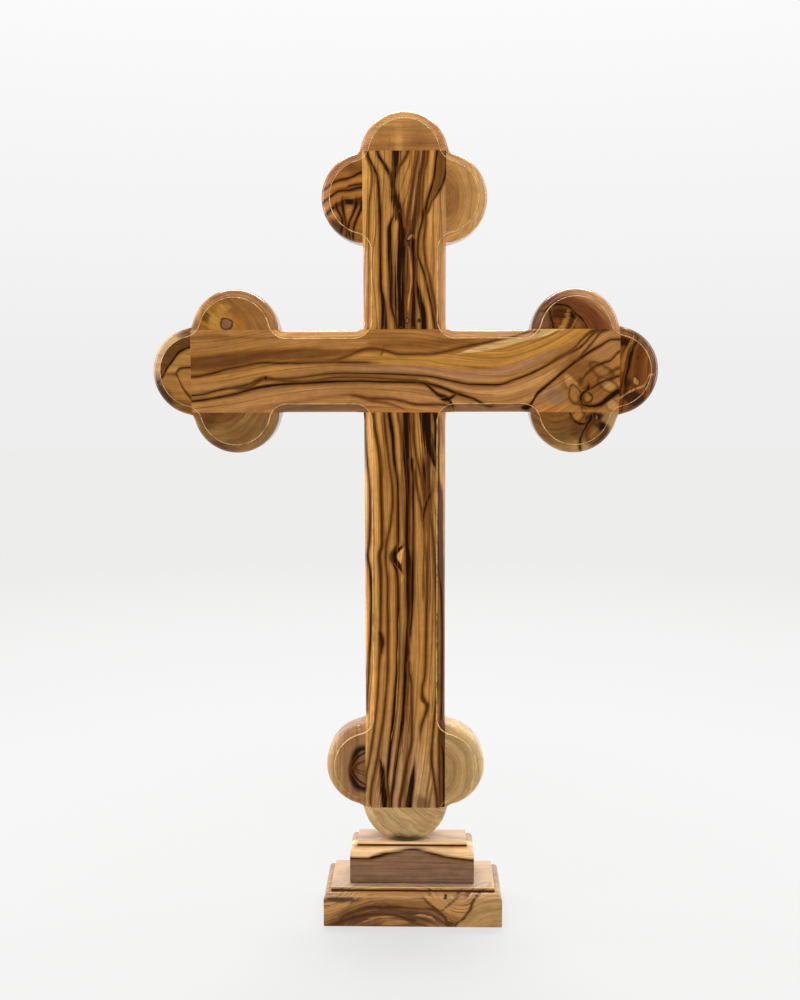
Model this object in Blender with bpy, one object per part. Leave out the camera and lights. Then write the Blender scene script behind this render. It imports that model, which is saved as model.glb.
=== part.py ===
"""Budded cross of figured olive wood on a two-step plinth.

The cross is glued up from a post, a crossbeam let into its front, and twelve round buds. Its whole
outline is then rounded over with one edge profile, which leaves a small step below each face. The
front looks along -Y, +Z is up, and the origin is on the floor under the middle of the cross.
All sizes are in metres.
"""

from math import atan2, cos, hypot, pi, radians, sin, sqrt

import bmesh
import bpy
from mathutils import Vector

# Bars of the cross
POST_WIDTH = 0.042
POST_LENGTH = 0.340
BEAM_HEIGHT = 0.042
BEAM_LENGTH = 0.2186
CROSSING_DROP = 0.1093          # head of the post down to the middle of the crossbeam
CROSS_THICKNESS = 0.0205
LAP_DEPTH = 0.01025             # how much of the thickness the crossbeam keeps over the post

# Round buds, three at each end
LOBE_RADIUS = 0.0225
SIDE_LOBE_BACK = 0.0223         # centre of a side bud, back from the end of its bar
SIDE_LOBE_SINK = 0.00155        # centre of a side bud, inside the edge of its bar
END_LOBE_SINK = 0.00217         # centre of an end bud, inside the end of its bar
FOOT_FLAT_DEPTH = 0.0010        # planed off the foot bud where it stands on the plinth

# Edge profile: a small step, then a quarter round down to the flat side
CROSS_ROUND = 0.0044
CROSS_STEP = 0.0009
BEARING_RADIUS = 0.0048         # guide roller of the edge cutter, which rounds the inner corners
PLINTH_ROUND = 0.0039
PLINTH_STEP = 0.00225

# Plinth
UPPER_WIDTH = 0.0661
UPPER_DEPTH = 0.0250
UPPER_HEIGHT = 0.0213
UPPER_SHIFT = 0.0035            # to the right of the post's axis
LOWER_WIDTH = 0.0943
LOWER_DEPTH = 0.0412
LOWER_HEIGHT = 0.0201
LOWER_SHIFT = 0.0040

# Fits and fineness
JOINT_GAP = 0.0003              # left between pieces that touch
BLANK_SPARE = 0.002             # how far a blank stands proud before the edge is cut
LOBE_STEPS = 14
INNER_STEPS = 4
ROUND_STEPS = 3
BLANK_SIDES = 48
SMOOTH_ANGLE = radians(30)

# Levels, worked out from the floor up
UPPER_BASE = LOWER_HEIGHT + JOINT_GAP
CROSS_BASE = UPPER_BASE + UPPER_HEIGHT + JOINT_GAP
FOOT_LOBE_Z = CROSS_BASE - FOOT_FLAT_DEPTH + LOBE_RADIUS
POST_BOTTOM = FOOT_LOBE_Z - END_LOBE_SINK
POST_TOP = POST_BOTTOM + POST_LENGTH
CROSSING_Z = POST_TOP - CROSSING_DROP
FRONT = -CROSS_THICKNESS / 2
BACK = CROSS_THICKNESS / 2

# Each arm: direction along it, half its width and its reach from the crossing
ARMS = {
    "right": {"along": (1, 0), "half": BEAM_HEIGHT / 2, "reach": BEAM_LENGTH / 2},
    "top": {"along": (0, 1), "half": POST_WIDTH / 2, "reach": CROSSING_DROP},
    "left": {"along": (-1, 0), "half": BEAM_HEIGHT / 2, "reach": BEAM_LENGTH / 2},
    "foot": {"along": (0, -1), "half": POST_WIDTH / 2, "reach": POST_LENGTH - CROSSING_DROP},
}
# What the bud on an arm's left (+1) and right (-1), seen from the crossing outwards, is called
SIDE_NAMES = {
    "right": {1: "upper", -1: "lower"},
    "top": {1: "left", -1: "right"},
    "left": {1: "lower", -1: "upper"},
    "foot": {1: "right", -1: "left"},
}


def clear_scene():
    for item in list(bpy.data.objects):
        bpy.data.objects.remove(item, do_unlink=True)


def make_collection(name, hidden=False):
    collection = bpy.data.collections.new(name)
    collection.hide_render = hidden
    bpy.context.scene.collection.children.link(collection)
    return collection


def object_from_bmesh(name, bm, collection):
    bmesh.ops.recalc_face_normals(bm, faces=bm.faces)
    mesh = bpy.data.meshes.new(name)
    bm.to_mesh(mesh)
    bm.free()
    item = bpy.data.objects.new(name, mesh)
    collection.objects.link(item)
    return item


def finish_piece(item, material):
    item.data.materials.clear()
    item.data.materials.append(material)
    item.data.shade_smooth()
    item.data.set_sharp_from_angle(angle=SMOOTH_ANGLE)


def hide_cutter(item):
    item.hide_render = True
    item.display_type = "WIRE"


def cut_with(item, cutter, operation):
    modifier = item.modifiers.new(operation.title() + " " + cutter.name, "BOOLEAN")
    modifier.operation = operation
    modifier.solver = "EXACT"
    modifier.object = cutter


# Outline of the cross, walked anticlockwise as seen from the front

def arm_to_front(arm, u, v):
    """Turns a place along an arm (u) and to its left (v) into X and Z."""
    ax, az = arm["along"]
    return u * ax - v * az, CROSSING_Z + u * az + v * ax


def arc(centre, radius, start, end, steps):
    """Points of an arc from one angle to another, both ends included."""
    turns = [start + (end - start) * i / steps for i in range(steps + 1)]
    return [(centre[0] + radius * cos(a), centre[1] + radius * sin(a)) for a in turns]


def side_lobe_centre(arm, side):
    return arm["reach"] - SIDE_LOBE_BACK, side * (arm["half"] - SIDE_LOBE_SINK)


def end_lobe_centre(arm):
    return arm["reach"] - END_LOBE_SINK, 0.0


def roller_against_bar(arm):
    """Guide roller resting on the bar's left edge and on its left bud."""
    lobe = side_lobe_centre(arm, 1)
    across = arm["half"] + BEARING_RADIUS
    along = sqrt((LOBE_RADIUS + BEARING_RADIUS) ** 2 - (across - lobe[1]) ** 2)
    return lobe[0] - along, across


def roller_between_lobes(arm):
    """Guide roller resting on the left bud and on the end bud."""
    side = side_lobe_centre(arm, 1)
    end = end_lobe_centre(arm)
    run = (end[0] - side[0], end[1] - side[1])
    apart = hypot(*run)
    rise = sqrt((LOBE_RADIUS + BEARING_RADIUS) ** 2 - (apart / 2) ** 2)
    middle = ((side[0] + end[0]) / 2, (side[1] + end[1]) / 2)
    return middle[0] - run[1] / apart * rise, middle[1] + run[0] / apart * rise


def direction(start, end):
    return atan2(end[1] - start[1], end[0] - start[0])


def end_half_outline(arm):
    """Left half of an arm's end, from the tip of its end bud back to the straight edge."""
    end, side = end_lobe_centre(arm), side_lobe_centre(arm, 1)
    notch, crotch = roller_between_lobes(arm), roller_against_bar(arm)
    points = arc(end, LOBE_RADIUS, 0.0, direction(end, notch), LOBE_STEPS // 2)
    turn_in = direction(notch, end)
    turn_out = direction(notch, side)
    points += arc(notch, BEARING_RADIUS, turn_in % (2 * pi), turn_out % (2 * pi), INNER_STEPS)[1:]
    points += arc(side, LOBE_RADIUS, direction(side, notch), direction(side, crotch), LOBE_STEPS)[1:]
    points += arc(crotch, BEARING_RADIUS, direction(crotch, side), -pi / 2, INNER_STEPS)[1:]
    return points


def corner_outline(arm, next_arm):
    """Roller's turn in the inner corner between an arm and the next one anticlockwise."""
    centre = (next_arm["half"] + BEARING_RADIUS, arm["half"] + BEARING_RADIUS)
    return arc(centre, BEARING_RADIUS, -pi / 2, -pi, INNER_STEPS)


def cross_outline():
    order = ["right", "top", "left", "foot"]
    outline = []
    for index, name in enumerate(order):
        arm = ARMS[name]
        left = end_half_outline(arm)
        right = [(u, -v) for u, v in reversed(left)]
        corner = corner_outline(arm, ARMS[order[(index + 1) % 4]])
        outline += [arm_to_front(arm, u, v) for u, v in right[:-1] + left + corner]
    return outline


# Edge profile

def profile_steps(radius, step):
    """How far each facet of the quarter round goes inwards and outwards, then the step's height."""
    turns = [pi / 2 * i / ROUND_STEPS for i in range(ROUND_STEPS + 1)]
    facets = []
    for low, high in zip(turns, turns[1:]):
        inward = radius * (cos(low) - cos(high))
        outward = radius * (sin(high) - sin(low))
        facets.append((inward, outward))
    return facets, step


def round_over(bm, face, radius, step):
    """Carries a flat face outwards through the quarter round and up the step."""
    facets, rise = profile_steps(radius, step)
    for inward, outward in facets:
        bmesh.ops.inset_region(bm, faces=[face], thickness=inward, depth=outward,
                               use_even_offset=True, use_boundary=True)
    normal = face.normal.copy()
    result = bmesh.ops.extrude_face_region(bm, geom=[face])
    raised = [g for g in result["geom"] if isinstance(g, bmesh.types.BMVert)]
    bmesh.ops.translate(bm, verts=raised, vec=normal * rise)
    if face.is_valid:
        bmesh.ops.delete(bm, geom=[face], context="FACES_ONLY")


def flat_face(bm, axis, sign):
    return max(bm.faces, key=lambda f: (round(f.normal[axis] * sign, 3), f.calc_area()))


def routed_body(collection):
    """The cross with its edges rounded over, as if it were one board; each piece is cut to it."""
    wall = CROSS_THICKNESS / 2 - CROSS_ROUND - CROSS_STEP
    bm = bmesh.new()
    bottom = bm.faces.new([bm.verts.new((x, -wall, z)) for x, z in cross_outline()])
    raised = bmesh.ops.extrude_face_region(bm, geom=[bottom])["geom"]
    corners = [g for g in raised if isinstance(g, bmesh.types.BMVert)]
    bmesh.ops.translate(bm, verts=corners, vec=(0, 2 * wall, 0))
    bmesh.ops.recalc_face_normals(bm, faces=bm.faces)
    for sign in (-1, 1):
        round_over(bm, flat_face(bm, 1, sign), CROSS_ROUND, CROSS_STEP)
    body = object_from_bmesh("routed_body", bm, collection)
    hide_cutter(body)
    return body


# Bars and buds

def box_bmesh(low, high):
    bm = bmesh.new()
    bmesh.ops.create_cube(bm, size=1.0)
    low, high = Vector(low), Vector(high)
    for vert in bm.verts:
        vert.co = [(low[i] + high[i]) / 2 + vert.co[i] * (high[i] - low[i]) for i in range(3)]
    return bm


def make_post(body, pieces, cutters):
    blank = box_bmesh((-POST_WIDTH / 2, FRONT - BLANK_SPARE, POST_BOTTOM),
                      (POST_WIDTH / 2, BACK + BLANK_SPARE, POST_TOP))
    post = object_from_bmesh("post", blank, pieces)
    half_notch = BEAM_HEIGHT / 2 + JOINT_GAP
    notch = box_bmesh((-POST_WIDTH, FRONT - 2 * BLANK_SPARE, CROSSING_Z - half_notch),
                      (POST_WIDTH, FRONT + LAP_DEPTH + JOINT_GAP, CROSSING_Z + half_notch))
    notch = object_from_bmesh("post_notch", notch, cutters)
    hide_cutter(notch)
    cut_with(post, notch, "DIFFERENCE")
    cut_with(post, body, "INTERSECT")
    return post


def make_crossbeam(body, pieces, cutters):
    half = BEAM_HEIGHT / 2
    blank = box_bmesh((-BEAM_LENGTH / 2, FRONT - BLANK_SPARE, CROSSING_Z - half),
                      (BEAM_LENGTH / 2, BACK + BLANK_SPARE, CROSSING_Z + half))
    beam = object_from_bmesh("crossbeam", blank, pieces)
    half_notch = POST_WIDTH / 2 + JOINT_GAP
    notch = box_bmesh((-half_notch, FRONT + LAP_DEPTH, CROSSING_Z - BEAM_HEIGHT),
                      (half_notch, BACK + 2 * BLANK_SPARE, CROSSING_Z + BEAM_HEIGHT))
    notch = object_from_bmesh("crossbeam_notch", notch, cutters)
    hide_cutter(notch)
    cut_with(beam, notch, "DIFFERENCE")
    cut_with(beam, body, "INTERSECT")
    return beam


def trim(bm, point, normal):
    """Saws a blank along a plane and keeps what lies behind its normal."""
    geom = list(bm.verts) + list(bm.edges) + list(bm.faces)
    bmesh.ops.bisect_plane(bm, geom=geom, plane_co=point, plane_no=normal, clear_outer=True)
    rim = [edge for edge in bm.edges if edge.is_boundary]
    bmesh.ops.contextual_create(bm, geom=rim)


def lobe_disc(arm, centre):
    """Round blank of a bud, a touch larger than its arc, so that the edge cut sets its side."""
    x, z = arm_to_front(arm, *centre)
    sawn_radius = LOBE_RADIUS / cos(pi / BLANK_SIDES) + JOINT_GAP / 4
    bm = bmesh.new()
    bmesh.ops.create_cone(bm, cap_ends=True, segments=BLANK_SIDES, radius1=sawn_radius,
                          radius2=sawn_radius, depth=CROSS_THICKNESS + 2 * BLANK_SPARE)
    for vert in bm.verts:
        vert.co = (x + vert.co.x, vert.co.z, z - vert.co.y)
    return bm


def along_arm(arm, u, v):
    ax, az = arm["along"]
    return Vector((u * ax - v * az, 0, u * az + v * ax))


def make_side_lobe(name, arm, side, body, pieces):
    bm = lobe_disc(arm, side_lobe_centre(arm, side))
    seat = side * (arm["half"] + JOINT_GAP)
    x, z = arm_to_front(arm, arm["reach"], seat)
    trim(bm, (x, 0, z), along_arm(arm, 0, -side))
    trim(bm, (x, 0, z), along_arm(arm, 1, 0))
    lobe = object_from_bmesh(name, bm, pieces)
    cut_with(lobe, body, "INTERSECT")
    return lobe


def make_end_lobe(name, arm, body, pieces):
    bm = lobe_disc(arm, end_lobe_centre(arm))
    x, z = arm_to_front(arm, arm["reach"] + JOINT_GAP, 0)
    trim(bm, (x, 0, z), along_arm(arm, -1, 0))
    if arm is ARMS["foot"]:
        trim(bm, (0, 0, CROSS_BASE), (0, 0, -1))
    lobe = object_from_bmesh(name, bm, pieces)
    cut_with(lobe, body, "INTERSECT")
    return lobe


# Plinth

def make_block(name, width, depth, height, base, shift, pieces):
    bm = box_bmesh((shift - width / 2, -depth / 2, base),
                   (shift + width / 2, depth / 2, base + height - PLINTH_ROUND - PLINTH_STEP))
    bmesh.ops.recalc_face_normals(bm, faces=bm.faces)
    round_over(bm, flat_face(bm, 2, 1), PLINTH_ROUND, PLINTH_STEP)
    return object_from_bmesh(name, bm, pieces)


# Materials

def olive_wood(name, colour, roughness=0.3):
    material = bpy.data.materials.new(name)
    material.use_nodes = True
    shader = material.node_tree.nodes["Principled BSDF"]
    shader.inputs["Base Color"].default_value = (*colour, 1.0)
    shader.inputs["Roughness"].default_value = roughness
    shader.inputs["Metallic"].default_value = 0.0
    return material


HEARTWOOD = (0.42, 0.22, 0.08)
GOLDEN = (0.50, 0.28, 0.10)
SAPWOOD = (0.60, 0.42, 0.21)
MAUVE_BROWN = (0.33, 0.19, 0.11)
LOBE_COLOURS = {
    "top_lobe_end": GOLDEN, "top_lobe_left": HEARTWOOD, "top_lobe_right": SAPWOOD,
    "left_lobe_end": GOLDEN, "left_lobe_upper": GOLDEN, "left_lobe_lower": GOLDEN,
    "right_lobe_end": HEARTWOOD, "right_lobe_upper": MAUVE_BROWN, "right_lobe_lower": GOLDEN,
    "foot_lobe_end": SAPWOOD, "foot_lobe_left": HEARTWOOD, "foot_lobe_right": SAPWOOD,
}


def build():
    clear_scene()
    pieces = make_collection("olive_wood_cross")
    cutters = make_collection("cutters", hidden=True)
    body = routed_body(cutters)
    finish_piece(make_post(body, pieces, cutters), olive_wood("post_wood", GOLDEN))
    finish_piece(make_crossbeam(body, pieces, cutters), olive_wood("crossbeam_wood", HEARTWOOD))
    for arm_name, arm in ARMS.items():
        name = arm_name + "_lobe_end"
        lobe = make_end_lobe(name, arm, body, pieces)
        finish_piece(lobe, olive_wood(name + "_wood", LOBE_COLOURS[name]))
        for side, word in SIDE_NAMES[arm_name].items():
            name = arm_name + "_lobe_" + word
            lobe = make_side_lobe(name, arm, side, body, pieces)
            finish_piece(lobe, olive_wood(name + "_wood", LOBE_COLOURS[name]))
    upper = make_block("plinth_upper", UPPER_WIDTH, UPPER_DEPTH, UPPER_HEIGHT,
                       UPPER_BASE, UPPER_SHIFT, pieces)
    finish_piece(upper, olive_wood("plinth_upper_wood", MAUVE_BROWN))
    lower = make_block("plinth_lower", LOWER_WIDTH, LOWER_DEPTH, LOWER_HEIGHT,
                       0.0, LOWER_SHIFT, pieces)
    finish_piece(lower, olive_wood("plinth_lower_wood", HEARTWOOD))


build()
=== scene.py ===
# %% [markdown]
# # An olive wood cross on a stepped plinth
#
# The real object is glued up from sixteen pieces of figured olive wood: a post, a crossbeam let into
# its front, three round buds at each of the four ends, and two plinth blocks. A cutter with a guide
# roller then ran round the whole outline and left a quarter round with a small step above it. This
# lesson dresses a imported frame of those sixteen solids: it models each piece again with a finer edge,
# gives each one its own wood, and lights them in a plain pale studio.

# %% Load the frame
from math import atan2, ceil, cos, hypot, pi, radians, sin, sqrt
from types import SimpleNamespace

import bpy
from mathutils import Matrix, Vector


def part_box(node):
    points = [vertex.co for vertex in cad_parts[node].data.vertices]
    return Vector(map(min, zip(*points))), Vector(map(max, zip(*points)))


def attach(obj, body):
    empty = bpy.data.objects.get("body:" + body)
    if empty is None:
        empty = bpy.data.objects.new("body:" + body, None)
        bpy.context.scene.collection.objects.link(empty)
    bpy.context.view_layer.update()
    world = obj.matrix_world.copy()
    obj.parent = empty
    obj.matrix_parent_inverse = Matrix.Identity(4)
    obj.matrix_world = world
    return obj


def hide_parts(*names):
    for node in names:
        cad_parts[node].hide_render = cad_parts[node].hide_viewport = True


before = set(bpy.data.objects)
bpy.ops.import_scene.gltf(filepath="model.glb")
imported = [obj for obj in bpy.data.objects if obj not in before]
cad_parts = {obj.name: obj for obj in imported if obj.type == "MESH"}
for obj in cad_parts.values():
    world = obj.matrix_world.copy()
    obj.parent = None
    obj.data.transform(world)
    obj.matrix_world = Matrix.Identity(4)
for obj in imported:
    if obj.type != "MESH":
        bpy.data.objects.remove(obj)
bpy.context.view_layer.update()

# %% [markdown]
# ## Sizes
#
# The frame already holds every place, so the sizes of the bars and the blocks are read from it. Only
# what a box can't say is named here: the radius of the buds, and the shape of the cutter that ran
# round the edge. They are the numbers a workshop would write on its drawing, in millimetres.

# %% Sizes in metres
MM = 0.001
LOBE_RADIUS = 22.5 * MM
ROLLER_RADIUS = 4.8 * MM        # the cutter's guide roller, which can't follow a sharp inner corner
CROSS_ROUND = 4.4 * MM
CROSS_STEP = 0.9 * MM
PLINTH_ROUND = 3.9 * MM
PLINTH_STEP = 2.25 * MM
ARRIS = 0.22 * MM               # sanding softens the top edge of the step
SEAM = 0.02 * MM                # half of a glue line, thin enough to read as a hairline
SPARE = 2.0 * MM                # how far a blank stands proud before its edge is cut

post_low, post_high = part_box("post")
beam_low, beam_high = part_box("crossbeam")
crossing_z = (beam_low.z + beam_high.z) / 2
front, back = post_low.y, post_high.y
half_thickness = (back - front) / 2
side_back = post_high.z - (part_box("top_lobe_right")[0].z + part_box("top_lobe_right")[1].z) / 2
side_sink = post_high.x - (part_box("top_lobe_right")[1].x - LOBE_RADIUS)
end_sink = post_high.z - (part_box("top_lobe_end")[1].z - LOBE_RADIUS)
print("post", [round(v / MM, 2) for v in post_high - post_low], "mm; side buds sit",
      round(side_back / MM, 2), "mm back and", round(side_sink / MM, 2), "mm in")

# %% [markdown]
# ## The camera
#
# The camera stands where the photographer's did: a little above the crossbeam, a touch to the right,
# looking slightly down. Its place and turn come from matching the seams, the circles of the buds and
# the corners of the plinth. It comes before the making, so that every step can be looked at.

# %% Camera
camera_data = bpy.data.cameras.new("camera")
camera_data.sensor_width = 36.0
camera_data.lens = 40.19
camera = bpy.data.objects.new("camera", camera_data)
bpy.context.scene.collection.objects.link(camera)
camera_turn = (Matrix.Rotation(radians(1.241), 4, "Z") @ Matrix.Rotation(radians(-6.235), 4, "X")
               @ Matrix.Rotation(radians(0.134), 4, "Y") @ Matrix.Rotation(pi / 2, 4, "X"))
camera.matrix_world = Matrix.Translation((9.96 * MM, -582.66 * MM, 288.50 * MM)) @ camera_turn
bpy.context.scene.camera = camera
print("camera at", [round(v, 3) for v in camera.location], "m, lens", camera_data.lens, "mm")

# %% [markdown]
# ## Outline of the whole cross
#
# Seen from the front the cross is four arms of the same pattern, so one half of one arm's end is
# worked out, mirrored, and turned to the other arms. Each round stretch is an arc with its own centre:
# the buds swell outwards, and between them lie the places where the guide roller rested.

# %% Arms and arcs
ARMS = {
    "right": {"along": (1, 0), "half": (beam_high.z - beam_low.z) / 2, "reach": beam_high.x},
    "top": {"along": (0, 1), "half": post_high.x, "reach": post_high.z - crossing_z},
    "left": {"along": (-1, 0), "half": (beam_high.z - beam_low.z) / 2, "reach": -beam_low.x},
    "foot": {"along": (0, -1), "half": post_high.x, "reach": crossing_z - post_low.z},
}
SIDE_NAMES = {
    "right": {1: "upper", -1: "lower"},
    "top": {1: "left", -1: "right"},
    "left": {1: "lower", -1: "upper"},
    "foot": {1: "right", -1: "left"},
}
ARC_STEP = radians(3.0)


def place_on_front(arm, u, v):
    """A place u along an arm and v to its left, as X and Z."""
    ax, az = arm["along"]
    return u * ax - v * az, crossing_z + u * az + v * ax


def arc(centre, radius, start, end):
    steps = ceil(abs(end - start) / ARC_STEP)
    turns = [start + (end - start) * i / steps for i in range(steps + 1)]
    return [(centre[0] + radius * cos(a), centre[1] + radius * sin(a)) for a in turns]


def bearing(start, end):
    """The direction from one place to another, as an angle from 0 to a full turn."""
    return atan2(end[1] - start[1], end[0] - start[0]) % (2 * pi)


# %% Half of an arm's end
def end_half_outline(arm):
    reach = LOBE_RADIUS + ROLLER_RADIUS
    end = (arm["reach"] - end_sink, 0.0)
    side = (arm["reach"] - side_back, arm["half"] - side_sink)
    crotch_across = arm["half"] + ROLLER_RADIUS
    crotch = (side[0] - sqrt(reach ** 2 - (crotch_across - side[1]) ** 2), crotch_across)
    run = (end[0] - side[0], end[1] - side[1])
    apart = hypot(*run)
    rise = sqrt(reach ** 2 - (apart / 2) ** 2)
    notch = ((side[0] + end[0]) / 2 - run[1] / apart * rise,
             (side[1] + end[1]) / 2 + run[0] / apart * rise)
    points = arc(end, LOBE_RADIUS, 0.0, bearing(end, notch))
    points += arc(notch, ROLLER_RADIUS, bearing(notch, end), bearing(notch, side))[1:]
    points += arc(side, LOBE_RADIUS, bearing(side, notch), bearing(side, crotch))[1:]
    points += arc(crotch, ROLLER_RADIUS, bearing(crotch, side) - 2 * pi, -pi / 2)[1:]
    return points


def cross_outline():
    order = ["right", "top", "left", "foot"]
    outline = []
    for index, name in enumerate(order):
        arm, following = ARMS[name], ARMS[order[(index + 1) % 4]]
        left = end_half_outline(arm)
        right = [(u, -v) for u, v in reversed(left)]
        corner = (following["half"] + ROLLER_RADIUS, arm["half"] + ROLLER_RADIUS)
        turn = arc(corner, ROLLER_RADIUS, -pi / 2, -pi)
        outline += [place_on_front(arm, u, v) for u, v in right[:-1] + left + turn]
    return outline


print("the outline has", len(cross_outline()), "corners")

# %% [markdown]
# ## One board with the edge cut round it
#
# The edge was cut after the glue-up, so its line runs on from piece to piece without a break. The
# same order works here: first a board of the whole outline gets the moulded edge on both faces, and
# later each piece is the part of that board that its own blank takes up. The moulding is a chain of
# insets. Each one moves the face inwards and outwards by one facet of the profile.

# %% Selecting by code
def only(piece):
    """Makes one object the only selected and the active one."""
    bpy.ops.object.select_all(action="DESELECT")
    piece.select_set(True)
    bpy.context.view_layer.objects.active = piece


def edit_faces(piece, wanted):
    """Opens edit mode with just those faces selected that the test wants."""
    only(piece)
    bpy.ops.object.mode_set(mode="EDIT")
    bpy.ops.mesh.select_mode(type="FACE")
    bpy.ops.mesh.select_all(action="DESELECT")
    bpy.ops.object.mode_set(mode="OBJECT")
    for face in piece.data.polygons:
        face.select = wanted(face)
    bpy.ops.object.mode_set(mode="EDIT")


# %% The moulded edge
ROUND_FACETS = 9
ARRIS_FACETS = 3


def profile(radius, step):
    """The moulding as facets (inwards, outwards), from the flat side up to the face."""
    facets = []
    for i in range(ROUND_FACETS):
        low, high = pi / 2 * i / ROUND_FACETS, pi / 2 * (i + 1) / ROUND_FACETS
        facets.append((radius * (cos(low) - cos(high)), radius * (sin(high) - sin(low))))
    facets.append((0.0, step - ARRIS))
    for i in range(ARRIS_FACETS):
        low, high = pi / 2 * i / ARRIS_FACETS, pi / 2 * (i + 1) / ARRIS_FACETS
        facets.append((ARRIS * (cos(low) - cos(high)), ARRIS * (sin(high) - sin(low))))
    return facets


def mould_selected_face(radius, step):
    for inwards, outwards in profile(radius, step):
        bpy.ops.mesh.inset(thickness=inwards, depth=outwards, use_even_offset=True, use_boundary=True)


def flat_board(name, outline, thickness):
    """A board of an outline in X and Z: a filled circle with its corners moved, then extruded."""
    bpy.ops.object.select_all(action="DESELECT")
    bpy.ops.mesh.primitive_circle_add(vertices=len(outline), radius=0.1, fill_type="NGON")
    board = bpy.context.object
    board.name = name
    for corner, (x, z) in zip(board.data.vertices, outline):
        corner.co = (x, -thickness / 2, z)
    edit_faces(board, lambda face: True)
    bpy.ops.mesh.extrude_region_move(TRANSFORM_OT_translate={"value": (0, thickness, 0)})
    bpy.ops.mesh.select_all(action="SELECT")
    bpy.ops.mesh.normals_make_consistent(inside=False)
    bpy.ops.object.mode_set(mode="OBJECT")
    return board


# %% The moulded board
board = flat_board("moulded_board", cross_outline(), 2 * (half_thickness - CROSS_ROUND - CROSS_STEP))
for way in (-1, 1):
    edit_faces(board, lambda face: face.normal.y * way > 0.9 and len(face.vertices) > 4)
    mould_selected_face(CROSS_ROUND, CROSS_STEP)
    bpy.ops.object.mode_set(mode="OBJECT")
print("the moulded board has", len(board.data.polygons), "faces and is",
      round(board.dimensions.y / MM, 2), "mm thick")


# %% [markdown]
# ## Cutting the pieces out of it
#
# A bud starts as a round disc, sawn flat where it meets its bar. A bar starts as a planed length with
# half of its thickness cut away at the crossing. An intersection with the moulded board then gives
# each blank its share of the edge, with the sharp inner corners that the roller couldn't reach.

# %% Saw and cut
def saw(piece, point, normal):
    """Saws a blank along a plane, to a thousandth of a millimetre, and keeps what lies behind."""
    edit_faces(piece, lambda face: True)
    bpy.ops.mesh.bisect(plane_co=point, plane_no=normal, use_fill=True, clear_outer=True,
                        threshold=0.001 * MM)
    bpy.ops.object.mode_set(mode="OBJECT")


def cut(piece, cutter, operation):
    only(piece)
    bpy.ops.object.modifier_add(type="BOOLEAN")
    modifier = piece.modifiers[-1]
    modifier.operation = operation
    modifier.solver = "EXACT"
    modifier.object = cutter
    bpy.ops.object.modifier_apply(modifier=modifier.name)


def settle(piece):
    """Puts an object's place into its mesh, so that the object sits at the origin."""
    only(piece)
    bpy.ops.object.transform_apply(location=True, rotation=True, scale=True)


def planed_block(name, low, high):
    bpy.ops.object.select_all(action="DESELECT")
    bpy.ops.mesh.primitive_cube_add(size=1.0, location=(Vector(low) + Vector(high)) / 2,
                                    scale=Vector(high) - Vector(low))
    block = bpy.context.object
    block.name = name
    settle(block)
    return block


# %% Post and crossbeam
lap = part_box("crossbeam")[0].y + half_thickness
post = planed_block("olive_post", (post_low.x, front - SPARE, post_low.z),
                    (post_high.x, back + SPARE, post_high.z))
notch = planed_block("post_notch", (-1.0, front - 2 * SPARE, beam_low.z - SEAM),
                     (1.0, lap + SEAM, beam_high.z + SEAM))
cut(post, notch, "DIFFERENCE")
beam = planed_block("olive_crossbeam", (beam_low.x, front - SPARE, beam_low.z),
                    (beam_high.x, back + SPARE, beam_high.z))
beam_notch = planed_block("beam_notch", (post_low.x - SEAM, lap - SEAM, 0.0),
                          (post_high.x + SEAM, back + 2 * SPARE, 1.0))
cut(beam, beam_notch, "DIFFERENCE")
for bar in (post, beam):
    cut(bar, board, "INTERSECT")
    print(bar.name, "has", len(bar.data.polygons), "faces")

# %% The twelve buds
DISC_SIDES = 180


def disc(name, arm, centre):
    x, z = place_on_front(arm, *centre)
    bpy.ops.object.select_all(action="DESELECT")
    bpy.ops.mesh.primitive_cylinder_add(vertices=DISC_SIDES, radius=LOBE_RADIUS + SEAM,
                                        depth=2 * half_thickness + 2 * SPARE, location=(x, 0, z),
                                        rotation=(pi / 2, 0, 0))
    piece = bpy.context.object
    piece.name = name
    settle(piece)
    return piece


def on_arm(arm, u, v):
    ax, az = arm["along"]
    return Vector((u * ax - v * az, 0, u * az + v * ax))


def end_bud(arm_name):
    arm = ARMS[arm_name]
    bud = disc("olive_" + arm_name + "_bud_end", arm, (arm["reach"] - end_sink, 0.0))
    x, z = place_on_front(arm, arm["reach"] + SEAM, 0.0)
    saw(bud, (x, 0, z), on_arm(arm, -1, 0))
    if arm_name == "foot":
        saw(bud, (0, 0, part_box("foot_lobe_end")[0].z), (0, 0, -1))
    return bud


def side_bud(arm_name, side):
    arm = ARMS[arm_name]
    name = "olive_" + arm_name + "_bud_" + SIDE_NAMES[arm_name][side]
    bud = disc(name, arm, (arm["reach"] - side_back, side * (arm["half"] - side_sink)))
    x, z = place_on_front(arm, arm["reach"], side * (arm["half"] + SEAM))
    saw(bud, (x, 0, z), on_arm(arm, 0, -side))
    saw(bud, (x, 0, z), on_arm(arm, 1, 0))
    return bud


buds = {}
for arm_name in ARMS:
    buds[arm_name + "_lobe_end"] = end_bud(arm_name)
    for side, word in SIDE_NAMES[arm_name].items():
        buds[arm_name + "_lobe_" + word] = side_bud(arm_name, side)
for bud in buds.values():
    cut(bud, board, "INTERSECT")
print("twelve buds, with", sum(len(bud.data.polygons) for bud in buds.values()), "faces in all")

# %% [markdown]
# ## The plinth
#
# Each block is a planed cube whose top edge has the same kind of moulding, with a taller step. Nothing
# was cut after these two were stacked, so each is moulded by itself: its top face is inset facet by
# facet, which mitres the profile at the corners as a cutter run along the four sides does.

# %% Two moulded blocks
CORNER = 0.5 * MM               # the upright and the lowest edges are broken with a sanding block


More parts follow.
